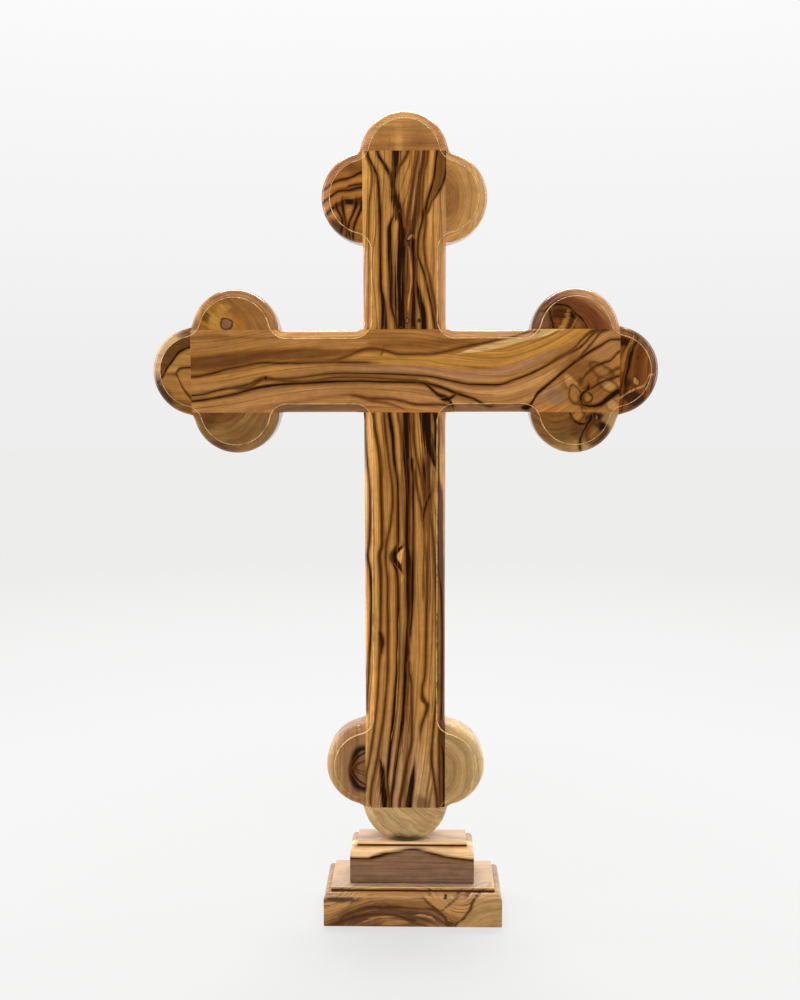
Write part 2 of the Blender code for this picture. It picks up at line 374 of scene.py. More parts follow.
def break_corners(block):
    """Bevels the four upright edges and those round the bottom."""
    bpy.ops.mesh.select_mode(type="EDGE")
    bpy.ops.mesh.select_all(action="DESELECT")
    bpy.ops.object.mode_set(mode="OBJECT")
    bottom = min(corner.co.z for corner in block.data.vertices)
    for edge in block.data.edges:
        ends = [block.data.vertices[i].co for i in edge.vertices]
        lowest = max(end.z for end in ends) < bottom + MM
        upright = abs(ends[1].z - ends[0].z) > PLINTH_ROUND
        edge.select = lowest or upright
    bpy.ops.object.mode_set(mode="EDIT")
    bpy.ops.mesh.bevel(offset=CORNER, segments=3)
    bpy.ops.object.mode_set(mode="OBJECT")


def moulded_block(name, node):
    low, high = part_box(node)
    block = planed_block(name, low, (high.x, high.y, high.z - PLINTH_ROUND - PLINTH_STEP))
    edit_faces(block, lambda face: face.normal.z > 0.9)
    mould_selected_face(PLINTH_ROUND, PLINTH_STEP)
    break_corners(block)
    print(name, [round(v / MM, 1) for v in block.dimensions], "mm")
    return block


upper_block = moulded_block("olive_plinth_upper", "plinth_upper")
lower_block = moulded_block("olive_plinth_lower", "plinth_lower")

# %% [markdown]
# ## Clearing the bench and smoothing
#
# The board and the notch blocks were only tools, so they go. The curved facets are shaded smooth.
# A weighted normal modifier then lets the large flat faces keep their own direction, so that the
# light doesn't bend near the step.

# %% Smooth shading and riding
SMOOTH_ANGLE = radians(32)      # the facets of a round lie below it, the corners above
pieces = {"post": post, "crossbeam": beam, "plinth_upper": upper_block, "plinth_lower": lower_block}
pieces.update(buds)
for tool in (board, notch, beam_notch):
    bpy.data.objects.remove(tool, do_unlink=True)
for node, piece in pieces.items():
    only(piece)
    bpy.ops.object.shade_smooth_by_angle(angle=SMOOTH_ANGLE)
    bpy.ops.object.modifier_add(type="WEIGHTED_NORMAL")
    piece.modifiers[-1].keep_sharp = True
    piece.modifiers[-1].weight = 100
    bpy.ops.object.modifier_apply(modifier=piece.modifiers[-1].name)
    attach(piece, "root")
    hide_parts(node)
print(len(pieces), "pieces ride on the root body")

# %% [markdown]
# ## Olive wood, drawn line by line
#
# Olive grows slowly and twisted, so its boards are golden, crossed by near-black growth lines that
# wander, fork and close round knots. Noise alone gives stripes that belong to no board. So each
# piece gets a few lines placed one by one, in millimetres, as a craftsman would read them off the blank,
# and noise only frays and wavers them. The pattern is solid: it runs on through the piece and drifts
# sideways with depth, as rings do in a real board, so the edges and the back are figured as well.

# %% Colours of the wood
def linear(hex_colour):
    """An sRGB hex colour as linear light, with an alpha of one."""
    parts = [int(hex_colour[i:i + 2], 16) / 255 for i in (1, 3, 5)]
    return (*[p / 12.92 if p <= 0.04045 else ((p + 0.055) / 1.055) ** 2.4 for p in parts], 1.0)


HONEY, GOLD, TAN = "#DA9D50", "#BE853F", "#A9743C"
# The cream below is no wood tone but the colour of a painted highlight along the step.
SAPWOOD, PAINTED_HIGHLIGHT, OLIVE = "#BF9C69", "#EFCB90", "#8C6134"
BROWN, UMBER, MAUVE, SMOKE, BLACK = "#744318", "#4C2A0C", "#A5744C", "#4B2E1C", "#1C0803"


# %% One node at a time
def add(tree, kind, inputs=None, **settings):
    """Adds a node with its settings; each input is linked to a socket or given a value."""
    node = tree.nodes.new("ShaderNode" + kind)
    for name, value in settings.items():
        setattr(node, name, value)
    for socket, value in (inputs or {}).items():
        if isinstance(value, bpy.types.NodeSocket):
            tree.links.new(value, node.inputs[socket])
        else:
            node.inputs[socket].default_value = value
    return node


# %% Sums on numbers and on places
def numbers(tree, operation, *values):
    return add(tree, "Math", dict(enumerate(values)), operation=operation).outputs[0]


def vectors(tree, operation, *values):
    return add(tree, "VectorMath", dict(enumerate(values)), operation=operation).outputs[0]


def scaled(tree, vector, factor):
    return add(tree, "VectorMath", {0: vector, "Scale": factor}, operation="SCALE").outputs[0]


def length(tree, vector):
    return add(tree, "VectorMath", {0: vector}, operation="LENGTH").outputs["Value"]


def remap(tree, value, low, high, start=0.0, end=1.0, smooth=False):
    """Start at the low value and end at the high one, held beyond them."""
    return add(tree, "MapRange", {0: value, 1: low, 2: high, 3: start, 4: end},
               interpolation_type="SMOOTHSTEP" if smooth else "LINEAR").outputs[0]


def pushed(tree, place, seen, scale, detail, reach):
    """A place pushed about by a noise, by half of the reach at most."""
    noise = add(tree, "TexNoise", {"Vector": seen, "Scale": scale, "Detail": detail})
    push = vectors(tree, "SUBTRACT", noise.outputs["Color"], (0.5, 0.5, 0.5))
    return vectors(tree, "MULTIPLY_ADD", push, reach, place)


# %% [markdown]
# ## Starting a wood
#
# A wood begins with places in millimetres. A broad noise, stretched along the grain, makes its lines
# wander; a fine one makes their edges fray. `bend` is the run of the grain through the piece, and for
# a piece that shows its end grain `pith` is the centre of its rings. Both give one number, `flow`,
# that says across how many millimetres of growth a place lies, and the tones follow that number.

# %% Curves through chosen places
def curves_through(tree, value, places):
    """Smooth curves through places: the first number is where, the next two are what."""
    node = add(tree, "VectorCurve", {"Vector": value})
    node.mapping.use_clip = False
    for axis in range(3):
        values = [place[axis + 1] if axis + 1 < len(place) else 0.0 for place in places]
        points = node.mapping.curves[axis].points
        points[0].location = (places[0][0], values[0])
        points[1].location = (places[-1][0], values[-1])
        for place, what in list(zip(places, values))[1:-1]:
            points.new(place[0], what)
        for point in points:
            point.handle_type = "AUTO_CLAMPED"
    node.mapping.update()
    return add(tree, "SeparateXYZ", {0: node.outputs[0]}).outputs


# %% Starting a wood
WAVE_SIZE, FRAY_SIZE = 9.0, 1.5             # mm: what makes lines wander, and what frays their edges
FIBRE_WIDTH, STREAK_WIDTH = 0.7, 2.6        # mm across the grain
GRAINS = {"X": Vector((0.14, 1, 1)), "Y": Vector((1, 0.14, 1)), "Z": Vector((1, 1, 0.14))}
DRIFT = 0.03                    # mm sideways for each square millimetre of depth


def streaks(tree, flow, y, over, across, along, detail):
    """A noise drawn out along the grain, from 0 to 1; the sizes are in millimetres."""
    place = add(tree, "CombineXYZ", {"X": flow, "Y": y, "Z": over}).outputs[0]
    place = vectors(tree, "MULTIPLY", place, (1 / across, 1 / along[0], 1 / along[1]))
    noise = add(tree, "TexNoise", {"Vector": place, "Scale": 1.0, "Detail": detail, "Roughness": 0.62})
    return remap(tree, noise.outputs[0], 0.3, 0.7)


def in_all_parts(tree, value):
    """A vector with one value in all its parts, which one set of curves reads."""
    return add(tree, "CombineXYZ", {"X": value, "Y": value, "Z": value}).outputs[0]


def start_wood(name, grain, tones, bend=None, pith=None, wander=1.2, fray=0.45, face=front):
    """A wood with its ground tones: `flow` counts millimetres across the growth."""
    material = bpy.data.materials.new(name)
    material.use_nodes = True
    tree = material.node_tree
    place = add(tree, "TexCoord").outputs["Object"]
    off_centre = numbers(tree, "ABSOLUTE", add(tree, "SeparateXYZ", {0: place}).outputs[1])
    step_foot = half_thickness - CROSS_STEP
    rim = remap(tree, off_centre, step_foot, step_foot - 0.02 * MM)
    place = scaled(tree, place, 1 / MM)
    along = GRAINS[grain]
    across = Vector([0.25 if part < 1 else 1.0 for part in along])
    for size, amount, detail in ((WAVE_SIZE, wander * 2, 2.0), (FRAY_SIZE, fray * 2, 3.0)):
        seen = vectors(tree, "MULTIPLY", place, along / size)
        place = pushed(tree, place, seen, 1.0, detail, across * amount)
    x, y, z = add(tree, "SeparateXYZ", {0: place}).outputs
    depth = numbers(tree, "SUBTRACT", y, face / MM)
    squared = numbers(tree, "MULTIPLY", depth, depth)
    if grain == "Z":
        x = numbers(tree, "MULTIPLY_ADD", squared, DRIFT, x)
    if grain == "X":
        z = numbers(tree, "MULTIPLY_ADD", squared, DRIFT, z)
    flow, over = (x, z) if grain == "Z" else (z, x)
    if bend:
        flow = numbers(tree, "SUBTRACT", flow, curves_through(tree, over, bend)[0])
    if pith:
        from_pith = add(tree, "CombineXYZ", {"X": x, "Z": z}).outputs[0]
        away = vectors(tree, "SUBTRACT", from_pith, (pith[0], 0, pith[1]))
        flow = length(tree, vectors(tree, "MULTIPLY", away, (1, 1, pith[2])))
    fibre = streaks(tree, flow, y, over, FIBRE_WIDTH, (8, 8) if pith else (2.5, 28), 4.0)
    streak = streaks(tree, flow, y, over, STREAK_WIDTH, (14, 14) if pith else (9, 70), 3.0)
    thrice = {"x": in_all_parts(tree, x), "z": in_all_parts(tree, z)}
    share = remap(tree, flow, tones[0][0], tones[-1][0])
    ramp = add(tree, "ValToRGB", {0: share})
    ramp.color_ramp.interpolation = "B_SPLINE"
    spread = tones[-1][0] - tones[0][0]
    for index, (where, colour) in enumerate(tones):
        step = (where - tones[0][0]) / spread
        if 0 < index < len(tones) - 1:
            stop = ramp.color_ramp.elements.new(step)
        else:
            stop = ramp.color_ramp.elements[-1 if index else 0]
        stop.position = step
        stop.color = linear(colour)
    return SimpleNamespace(material=material, tree=tree, x=x, z=z, flow=flow, fibre=fibre, streak=streak,
                           grain=grain, rim=rim, thrice=thrice, colour=ramp.outputs[0])


# %% [markdown]
# ## Drawing on it
#
# There are three strokes. A line follows a few chosen places and has a half width at each; a half
# width below zero lets it fade out. A knot is an oval with a rim and a core. A stain is a soft oval.
# Each one paints over what is there, so the order is that of a painter: broad bands first. A dark
# line gets a brown shade beside it, as the late wood of a slow year has. With `rim_only` a stroke
# stays on the cut edge; there the strokes are mostly painted light on upper rounds and painted shade
# on lower ones.

# %% A growth line
FADE = 4.0                      # mm in which a line closes past its last place
SHADE = 1.7                     # mm of brown beside a dark line
SHADE_BROWN = "#65390F"


def paint(wood, mask, colour, rim_only=False):
    if rim_only:
        mask = numbers(wood.tree, "MULTIPLY", mask, wood.rim)
    mix = add(wood.tree, "Mix", {0: mask, 6: wood.colour, 7: linear(colour)}, data_type="RGBA")
    wood.colour = mix.outputs[2]


def draw_line(wood, colour, places, over=None, soft=0.3, fibres=0.6, strength=0.96, rim_only=False):
    """Draws a line through (along, across, half width) places, with its edge frayed by fibres."""
    tree = wood.tree
    over = over or ("x" if wood.grain == "X" else "z")
    (first, start, _), (last, end, _) = places[0], places[-1]
    closed = -0.5 - fibres
    places = [(first - FADE, start, closed)] + places + [(last + FADE, end, closed)]
    across = wood.x if over == "z" else wood.z
    centre, half, _ = curves_through(tree, wood.thrice[over], places)
    away = numbers(tree, "ABSOLUTE", numbers(tree, "SUBTRACT", across, centre))
    inside = numbers(tree, "SUBTRACT", half, away)
    frayed = numbers(tree, "MULTIPLY_ADD", wood.fibre, fibres, inside)
    edge = fibres / 2
    if colour in (BLACK, UMBER, SMOKE):
        shade = remap(tree, frayed, edge - SHADE, edge + 0.3, end=0.9, smooth=True)
        paint(wood, shade, SHADE_BROWN)
    mask = remap(tree, frayed, edge - soft, edge + soft + 0.1, end=strength, smooth=True)
    paint(wood, mask, colour, rim_only)


def draw_lines(wood, colour, *lines, **look):
    """Draws lines of one colour and look, each one over those before it."""
    for places in lines:
        draw_line(wood, colour, places, **look)


# %% A knot and a stain
def oval_distance(wood, centre, radii, tilt):
    """How far a place lies from the middle of a tilted oval: 1 on its rim."""
    tree = wood.tree
    place = add(tree, "CombineXYZ", {"X": wood.x, "Z": wood.z}).outputs[0]
    place = vectors(tree, "SUBTRACT", place, (centre[0], 0, centre[1]))
    small = min(radii)
    place = pushed(tree, place, place, 0.45 / small, 1.0, [small * 0.6] * 3)
    place = add(tree, "VectorRotate", {"Vector": place, "Angle": radians(tilt)},
                rotation_type="Y_AXIS").outputs[0]
    return length(tree, vectors(tree, "MULTIPLY", place, (1 / radii[0], 0, 1 / radii[1])))


def draw_stain(wood, colour, centre, radii, tilt=0, edge=0.5, strength=0.7, rim_only=False):
    away = oval_distance(wood, centre, radii, tilt)
    mask = remap(wood.tree, away, 1.0, 1 - edge, end=strength, smooth=True)
    paint(wood, mask, colour, rim_only)


def draw_knot(wood, core, rim, centre, radii, tilt=0, rim_share=0.3, core_edge=0.3):
    draw_stain(wood, rim, centre, radii, tilt, edge=0.25, strength=0.95)
    inner = [radius * (1 - rim_share) for radius in radii]
    draw_stain(wood, core, centre, inner, tilt, edge=core_edge, strength=0.95)


# %% Fine growth lines
def draw_growth(wood, colour, spacing, half, strength, waver=3.0):
    """Thin lines that follow the rings at uneven distances, some strong and some faint."""
    tree = wood.tree
    over = wood.z if wood.grain == "Z" else wood.x
    slow = add(tree, "CombineXYZ", {"X": wood.flow, "Y": over}).outputs[0]
    slow = vectors(tree, "MULTIPLY", slow, (0.16, 0.012, 1))
    noise = add(tree, "TexNoise", {"Vector": slow, "Scale": 1.0, "Detail": 1.0})
    bent = numbers(tree, "MULTIPLY_ADD", noise.outputs[0], waver * spacing, wood.flow)
    turn = numbers(tree, "PINGPONG", bent, spacing)
    near = remap(tree, turn, half + 0.3, half - 0.1, smooth=True)
    grey = add(tree, "RGBToBW", {0: noise.outputs["Color"]}).outputs[0]
    some = remap(tree, grey, 0.4, 0.62, end=strength)
    paint(wood, numbers(tree, "MULTIPLY", near, some), colour)


# %% [markdown]
# ## Lacquer over the wood
#
# The last step is the same for all pieces. Fine fibres, broader streaks and clouds vary the tone. The
# cut edge is painted a little lighter than the face, as painted light on the round. Its step gets a
# thin cream painted highlight, broken up by a noise, and a clear satin lacquer lies over it all.

# %% Finishing a wood
FIBRE_TONE, STREAK_TONE, CLOUD_TONE = 0.5, 0.42, 0.24     # how far each one varies the tone
CLOUD_SIZE = 5 * MM
PAINTED_RIM_LIGHT = 1.2                 # how much lighter the cut edge is painted than the face, as painted light
PAINTED_TOP_REFLECTION = "#CDB49C"        # a painted reflection of the white room on the plinth's tops
HAIR = 0.01 * MM                # over which a line on the moulding sharpens


def band(tree, value, low, high, soft):
    """1 where a value lies between two others, and 0 outside them."""
    rise = remap(tree, value, low - soft, low + soft)
    fall = remap(tree, value, high + soft, high - soft)
    return numbers(tree, "MULTIPLY", rise, fall)


def finish_wood(wood, top=None):
    """Fibres, the painted highlight, light and shade of the edge, and the lacquer; `top` is the height of
    a plinth block.
    """
    tree = wood.tree
    place = add(tree, "TexCoord").outputs["Object"]
    _, y, z = add(tree, "SeparateXYZ", {0: place}).outputs
    cloud = add(tree, "TexNoise", {"Vector": place, "Scale": 1 / CLOUD_SIZE, "Detail": 6.0,
                                   "Roughness": 0.65}).outputs[0]
    for value, low, high, tone in ((wood.fibre, 0, 1, FIBRE_TONE), (wood.streak, 0, 1, STREAK_TONE),
                                   (cloud, 0.3, 0.7, CLOUD_TONE)):
        light = remap(tree, value, low, high, 1 - tone * 0.6, 1 + tone * 0.4)
        wood.colour = scaled(tree, wood.colour, light)
    if top:
        below = numbers(tree, "SUBTRACT", top, z)
        # Painted shade: a dark line on the lower part of the step wall, where shade falls under the step.
        painted_step_shade = band(tree, below, PLINTH_STEP * 0.55, PLINTH_STEP + 2 * HAIR, 2 * HAIR)
        paint(wood, painted_step_shade, UMBER)
        # Painted highlight: a thin cream line on the arris of the step.
        paint(wood, band(tree, below, 2 * HAIR, ARRIS, 2 * HAIR), PAINTED_HIGHLIGHT)
        # Painted reflection: the plinth's top face is painted towards the pale room colour.
        paint(wood, remap(tree, below, 3 * HAIR, HAIR, end=0.45), PAINTED_TOP_REFLECTION)
    else:
        # Painted light: the cut edge is painted lighter than the face.
        wood.colour = scaled(tree, wood.colour, remap(tree, wood.rim, 0, 1, 1.0, PAINTED_RIM_LIGHT))
        below = numbers(tree, "SUBTRACT", half_thickness, numbers(tree, "ABSOLUTE", y))
        # Painted highlight: a thin cream line over the arris and the step wall, broken up by a cloud
        # noise.
        broken_highlight = remap(tree, cloud, 0.4, 0.54, start=0.3)
        line = band(tree, below, 2 * HAIR, CROSS_STEP + 2 * HAIR, HAIR)
        paint(wood, numbers(tree, "MULTIPLY", line, broken_highlight), PAINTED_HIGHLIGHT)
    shader = tree.nodes["Principled BSDF"]
    tree.links.new(wood.colour, shader.inputs["Base Color"])
    tree.links.new(remap(tree, wood.fibre, 0, 1, 0.5, 0.36), shader.inputs["Roughness"])
    grain = add(tree, "Bump", {"Height": wood.fibre, "Strength": 0.12, "Distance": 0.15 * MM})
    tree.links.new(grain.outputs[0], shader.inputs["Normal"])
    shader.inputs["Specular IOR Level"].default_value = 0.05
    shader.inputs["Coat IOR"].default_value = 1.33
    shader.inputs["Coat Weight"].default_value = 1.0
    shader.inputs["Coat Roughness"].default_value = 0.12
    return wood.material


def clothe(node, wood, top=None):
    """Puts a finished wood on the piece that stands for a node."""
    mesh = pieces[node].data
    mesh.materials.clear()
    mesh.materials.append(finish_wood(wood, top))
    print(node, "is dressed, with", len(wood.tree.nodes), "nodes")


# %% [markdown]
# ## The post
#
# The post is the darkest board. Its lines run nearly upright, a black band goes down the middle, and
# halfway down a small eye knot pushes the left lines aside. Above the crossbeam the band forks round a
# pale lens, and a brown blade of a grown-in branch comes down from the top right.

# %% The post's board
wood = start_wood("lacquered_olive_post", "Z", tones=[(-24, HONEY), (-17, HONEY), (-12, GOLD), (-6, GOLD),
    (0, TAN), (6, GOLD), (13, GOLD), (17, HONEY), (21, MAUVE), (30, GOLD)], bend=[(62, -6), (90, -2),
    (120, 0.5), (150, 2), (200, 2), (240, 1), (272, -1), (330, -2), (401, 0)], wander=0.5, fray=0.3)
draw_stain(wood, "#BC9468", (0, 66), (40, 60), edge=0.9, strength=0.75)
draw_growth(wood, BROWN, spacing=1.9, half=0.2, strength=0.8)

# %% The post above the crossbeam
draw_line(wood, BROWN, [(312, 1, 6), (345, 1.5, 6), (366, 2, 3), (385, 4, 1), (402, 6, 0)], soft=1.6,
    fibres=8, strength=0.85)
draw_line(wood, "#3E210F", [(312, -1, 2), (345, -0.5, 2), (362, 0, 1.5), (372, 1, -1)], soft=0.9,
    fibres=8, strength=0.85)
draw_line(wood, BROWN, [(312, -15, 0), (350, -14, -0.5), (385, -13, 0.5), (402, -14, 0)], soft=0.8,
    fibres=5, strength=0.6)
draw_line(wood, BROWN, [(312, 14, 0.5), (350, 14, 0.5), (366, 15, -0.5)], soft=0.9, fibres=7,
    strength=0.7)
draw_line(wood, UMBER, [(312, -18.5, 0.1), (343, -18, 0.15), (375, -17.5, 0.2), (389, -16, 0.25),
    (402, -19, 0.25)])
draw_line(wood, BROWN, [(312, -14, 0.25), (347, -16, 0.25), (365, -14, 0.3), (384, -15, -0.4)])
draw_lines(wood, BLACK,
    [(312, -10.5, 1.6), (325, -10.5, 1.1), (336, -12, 0.55), (356, -12, 0.5), (379, -12.5, 0.6),
     (389, -13.5, 0.5), (402, -18.5, 0.5)],
    [(381, -5.3, -0.4), (388, -6.5, 0.7), (394, -9.5, 0.7), (402, -13.5, 0.5)])
draw_line(wood, BLACK, [(358, -1.5, 1.5), (366, -1.5, 2), (377, -4.5, 2), (383, -5, 1.1),
    (392, -4.5, 1.4), (402, -4, 2)], fibres=4, soft=0.5)
draw_line(wood, BLACK, [(312, -4, 0.35), (325, -6.5, 0.5), (344, -7, 1), (362, -7.5, 0.9),
    (374, -4.5, -0.4)])
draw_line(wood, BLACK, [(312, -2, 2.2), (335, -2.5, 2.2), (353, -1.5, 2.2), (364, -1, 1.8),
    (371, -2.5, 0.5)], fibres=5, soft=0.5)
draw_line(wood, BROWN, [(379, -2, -0.4), (384, -1, 0.3), (402, 3.5, 0.3)])
draw_line(wood, UMBER, [(392, -3, 0.3), (396, -0.5, 0.5), (402, 2, 0.5)])
draw_line(wood, BROWN, [(365, 0, 0.5), (371, -0.5, 0.35), (383, 2, 0.35), (402, 5.5, 0.4)])
draw_line(wood, UMBER, [(366, 1.5, 0.5), (374, 2.5, 0.4), (389, 5, 0.4), (402, 7, 0.35)])
draw_line(wood, SAPWOOD, [(366, 3, -0.4), (368, 3.5, 0.25), (380, 5, 0.35), (402, 8.5, 0.3)],
    strength=0.8)
draw_line(wood, UMBER, [(356, 2.5, 1.4), (363, 4.5, 1.4), (374, 6.5, 1.1), (386, 7.5, 0.9),
    (402, 10, 0.9)], fibres=1.5)
draw_line(wood, UMBER, [(370, 9, 0.3), (389, 10, 0.25), (402, 12, 0.25)])

# %% The grown-in branch and the lines below it
draw_line(wood, BLACK, [(366.5, 10, -0.5), (371, 11, 1), (377, 12.9, 1.7), (381, 15, 2.6),
    (389, 17.7, 3.1), (402, 18.5, 2.4)], fibres=0.3)
draw_line(wood, "#7A4A1D", [(368.5, 10.4, -0.5), (372, 11.6, 0.3), (377, 13.2, 0.9), (381, 15.2, 1.7),
    (389, 17.8, 2.2), (402, 18.6, 1.3)], fibres=0.3, soft=0.2)
draw_line(wood, BLACK, [(312, 15.5, 0.55), (320, 14.5, 0.5), (343, 9.5, 0.35), (351, 7, 0.5),
    (359, 7.5, 0.5), (371, 9.5, 0.5)])
draw_line(wood, UMBER, [(312, 17, 0.35), (335, 13.5, 0.3), (356, 10, 0.3), (368, 11, 0.3)])
draw_line(wood, BROWN, [(312, 18.5, 0.15), (342, 18, 0.15), (357, 19, 0.2), (380, 18, 0.2)])
draw_lines(wood, BLACK,
    [(312, 4.5, 1), (332, 5, 0.9), (344, 5.5, 0.8), (357, 4.5, 1)],
    [(312, 9.8, 1.4), (320, 9.5, 1.5), (332, 7, 0.9), (339, 6, -0.4)], fibres=1.5)
draw_line(wood, GOLD, [(320, 2, -0.4), (324, 2, 0.3), (338, 3.5, 0.4), (352, 2.5, 0.35), (356, 2, -0.4)])
draw_line(wood, GOLD, [(353, -5, -0.6), (358, -4.6, 0.9), (364, -4.2, 1), (369, -3.6, -0.3)], fibres=0.3)
draw_knot(wood, MAUVE, BLACK, (3, 359), (1.2, 2.9), tilt=-38)
draw_knot(wood, OLIVE, BLACK, (1.5, 317.5), (1.3, 1.8))
draw_knot(wood, UMBER, BLACK, (7.5, 317.5), (0.9, 1.2))

# %% The post below the crossbeam, and the lap behind it, which only the back shows
draw_line(wood, BROWN, [(60, -16, 1), (120, -11, 0.6), (200, -9, 0.5), (272, -10, 1)], soft=1, fibres=7,
    strength=0.55)
draw_line(wood, BROWN, [(60, 0, 2), (120, 1, 1), (200, 1.5, 2), (272, 2, 3), (311, 1, 6)], soft=1,
    fibres=7, strength=0.75)
draw_line(wood, "#5C3716", [(60, 12, 2), (90, 13, -0.5), (150, 14, -1), (200, 12, 2), (235, 12, 3),
    (272, 12, 3)], soft=0.8, fibres=7, strength=0.8)
draw_line(wood, "#3E210F", [(60, 3, 1), (100, 2, -0.5), (190, 2, 0.5), (272, 3, 0.5)], soft=0.6, fibres=5,
    strength=0.8)
draw_line(wood, "#3E210F", [(224, 12, 0.5), (245, 12, 2), (272, 12, 2.4), (311, 12, 1)], soft=0.5,
    fibres=6, strength=0.85)
draw_line(wood, BLACK, [(114, -20, 0.35), (141, -18.7, 0.45), (172, -17.5, 0.5), (189, -18, 0.5),
    (196.5, -19.3, 0.45), (203, -18.4, 0.45), (227, -18, 0.4), (256, -20, 0.35), (272, -20.5, 0.35),
    (311, -18.5, 0.2)])
draw_line(wood, UMBER, [(72, -21, 0.25), (90, -18.5, 0.35), (114, -15.3, 0.3), (141, -13.5, 0.35),
    (164, -12.5, 0.4), (189, -12.6, 0.6), (196.5, -13.3, 0.7), (203, -11.8, 0.6), (235, -12, 0.7),
    (248, -12.5, 0.7), (272, -16, 0.6), (311, -14, 0.3)], soft=0.4)
draw_line(wood, BLACK, [(142, -13, -0.4), (147, -12.3, 0.5), (151, -12, 0.9), (156, -12.7, 0.5),
    (158, -13, -0.4)])
draw_line(wood, UMBER, [(62, -18.5, 0.35), (90, -14.5, 0.35), (114, -11, 0.35), (154, -9, 0.45),
    (182, -9, 0.4), (196.5, -10, 0.3), (217, -7, 0.4), (227, -6.2, 0.4), (246, -8, 0.3),
    (272, -10.5, 0.3)])
draw_line(wood, BLACK, [(62, -8.5, 0.35), (76, -9.5, 0.4), (89, -8.5, 0.8), (114, -5.5, 1),
    (149, -3.5, 0.8), (174, -3.5, 0.7), (188, -4, 0.7), (196.5, -7, 0.7), (204, -3.5, 0.7),
    (231, -3.5, 0.6), (248, -5.5, 0.6), (262, -6.5, 0.85), (272, -8, 0.9), (311, -10.5, 1.5)])
draw_line(wood, GOLD, [(92, -8, -0.4), (110, -5.3, 0.25), (150, -3.3, 0.25), (170, -3.2, -0.4)], soft=0.2,
    strength=0.8)
draw_line(wood, BLACK, [(62.5, -11, 1.4), (76, -12, 1.1), (84, -12.5, 0.7), (89, -13.5, -0.4)],
    fibres=1.5)
draw_line(wood, UMBER, [(253, -1, 0.25), (262, -2, 0.25), (272, -3.5, 0.25), (311, -4, 0.35)])
draw_line(wood, BLACK, [(62, -7.5, 0.5), (76, -6, 0.55), (92, -4, 0.6), (114, -0.8, 0.75),
    (139, 0.5, 1.1), (164, 1.5, 0.8), (181, 2.5, 2), (194, 2, 1.6), (202, 1.5, 0.9), (236, 1.5, 0.9),
    (247, 1, 1.6), (272, 0.5, 1.7), (311, -2, 2)], fibres=1.2)
draw_line(wood, BLACK, [(155, 2.5, 0.4), (164, 3.5, 0.45), (184, 4, 0.7), (202, 4.5, 0.45),
    (237, 4.5, 0.5), (246, 3.5, 0.8)])
draw_line(wood, UMBER, [(62, -3, 0.7), (72, -1.5, 0.75), (86, 1, 0.6), (98, 3.3, 0.5), (126, 3.5, 0.4),
    (139, 2, 0.4)])
draw_line(wood, BLACK, [(62.5, 2, 1.5), (74, 3.5, 1.2), (82, 4.5, 0.5), (87, 5, -0.4)])
draw_line(wood, GOLD, [(181, -2, -0.4), (186, -1.2, 0.8), (189, -1, -0.4)], fibres=0.2)

# %% The eye knot and the black wedge
draw_line(wood, BLACK, [(187, -1, -0.5), (191, -3, 1), (196.5, -4.5, 2.5), (200, -3.5, 1.6),
    (203, -1, -0.5)], fibres=1)
draw_line(wood, HONEY, [(191, -2, -0.5), (194, -2.4, 0.7), (196.5, -2.8, 1.5), (199.5, -1.5, 0.9),
    (202, 0, -0.5)], fibres=0.3)
draw_line(wood, BLACK, [(242, 16, -0.4), (245, 15, 0.9), (251, 13, 1.8), (259, 11.5, 2.3), (272, 10, 2.2),
    (311, 9.8, 1.4)], fibres=4)
draw_lines(wood, BLACK,
    [(223, 10.5, -0.4), (226, 10.5, 0.4), (235, 10, 0.8), (243, 10, 0.7), (250, 9.5, -0.4)],
    [(248, 15.5, -0.4), (254, 15.5, 0.7), (264, 16, 0.9), (272, 15.5, 1.2), (311, 15.5, 0.6)])
draw_lines(wood, UMBER,
    [(227, 10.5, 0.4), (238, 8.5, 0.35), (251, 5.5, 0.3), (272, 4.5, 0.3), (311, 4.5, 0.9)],
    [(213, 10, -0.4), (217, 9.5, 0.4), (227, 7.5, 0.3), (240, 5.5, 0.3)])
draw_line(wood, BLACK, [(213, 9.5, -0.4), (217, 9.8, 0.4), (225, 11.5, 0.5), (229, 13, 0.35)])
draw_line(wood, SMOKE, [(60, 20.8, 1.4), (115, 20, 1), (150, 19.5, 1), (190, 19, 1.3), (206, 18.5, 1.4),
    (230, 18, 1.1), (241, 17, 0.4), (267, 18, 0.2)], fibres=1.2, soft=0.45)
draw_line(wood, BLACK, [(60, 20.6, 0.9), (88, 20.5, 0.7), (100, 18.8, 0.4), (140, 19.6, 0.6),
    (172, 19.4, 0.6), (190, 17.6, 0.3), (205, 17.2, 0.3), (222, 17, 0.3)])
draw_lines(wood, BROWN,
    [(199, 17, -0.4), (206, 17, 0.25), (219, 16, 0.25), (236, 13.5, 0.25)],
    [(170, 9.5, -0.4), (179, 9.5, 0.7), (189, 9.5, 0.4), (198, 10, 0.35), (209, 11.5, -0.4)])
draw_lines(wood, UMBER,
    [(62, 17, 0.7), (76, 15.5, 0.5), (89, 14, 0.7), (104, 15, 0.4), (129, 17, 0.4), (164, 16.5, 0.5),
     (204, 15, 0.3), (222, 13, -0.4)],
    [(62, 18.5, 0.4), (82, 18, 0.4), (96, 18, 0.4), (111, 18, -0.4)],
    [(98, 8, -0.4), (106, 8.5, 0.5), (114, 11, 0.6), (117, 11.5, 0.8), (120, 9.7, 1), (125, 9, 0.45),
     (133, 10.5, 0.4), (154, 11, 0.4), (189, 11.5, 0.3), (202, 11.5, -0.4)])
draw_stain(wood, SMOKE, (8.5, 64), (4.5, 6), tilt=30, edge=0.7, strength=0.6)
draw_growth(wood, "#7E5026", spacing=1.3, half=0.05, strength=0.6, waver=4)
clothe("post", wood)

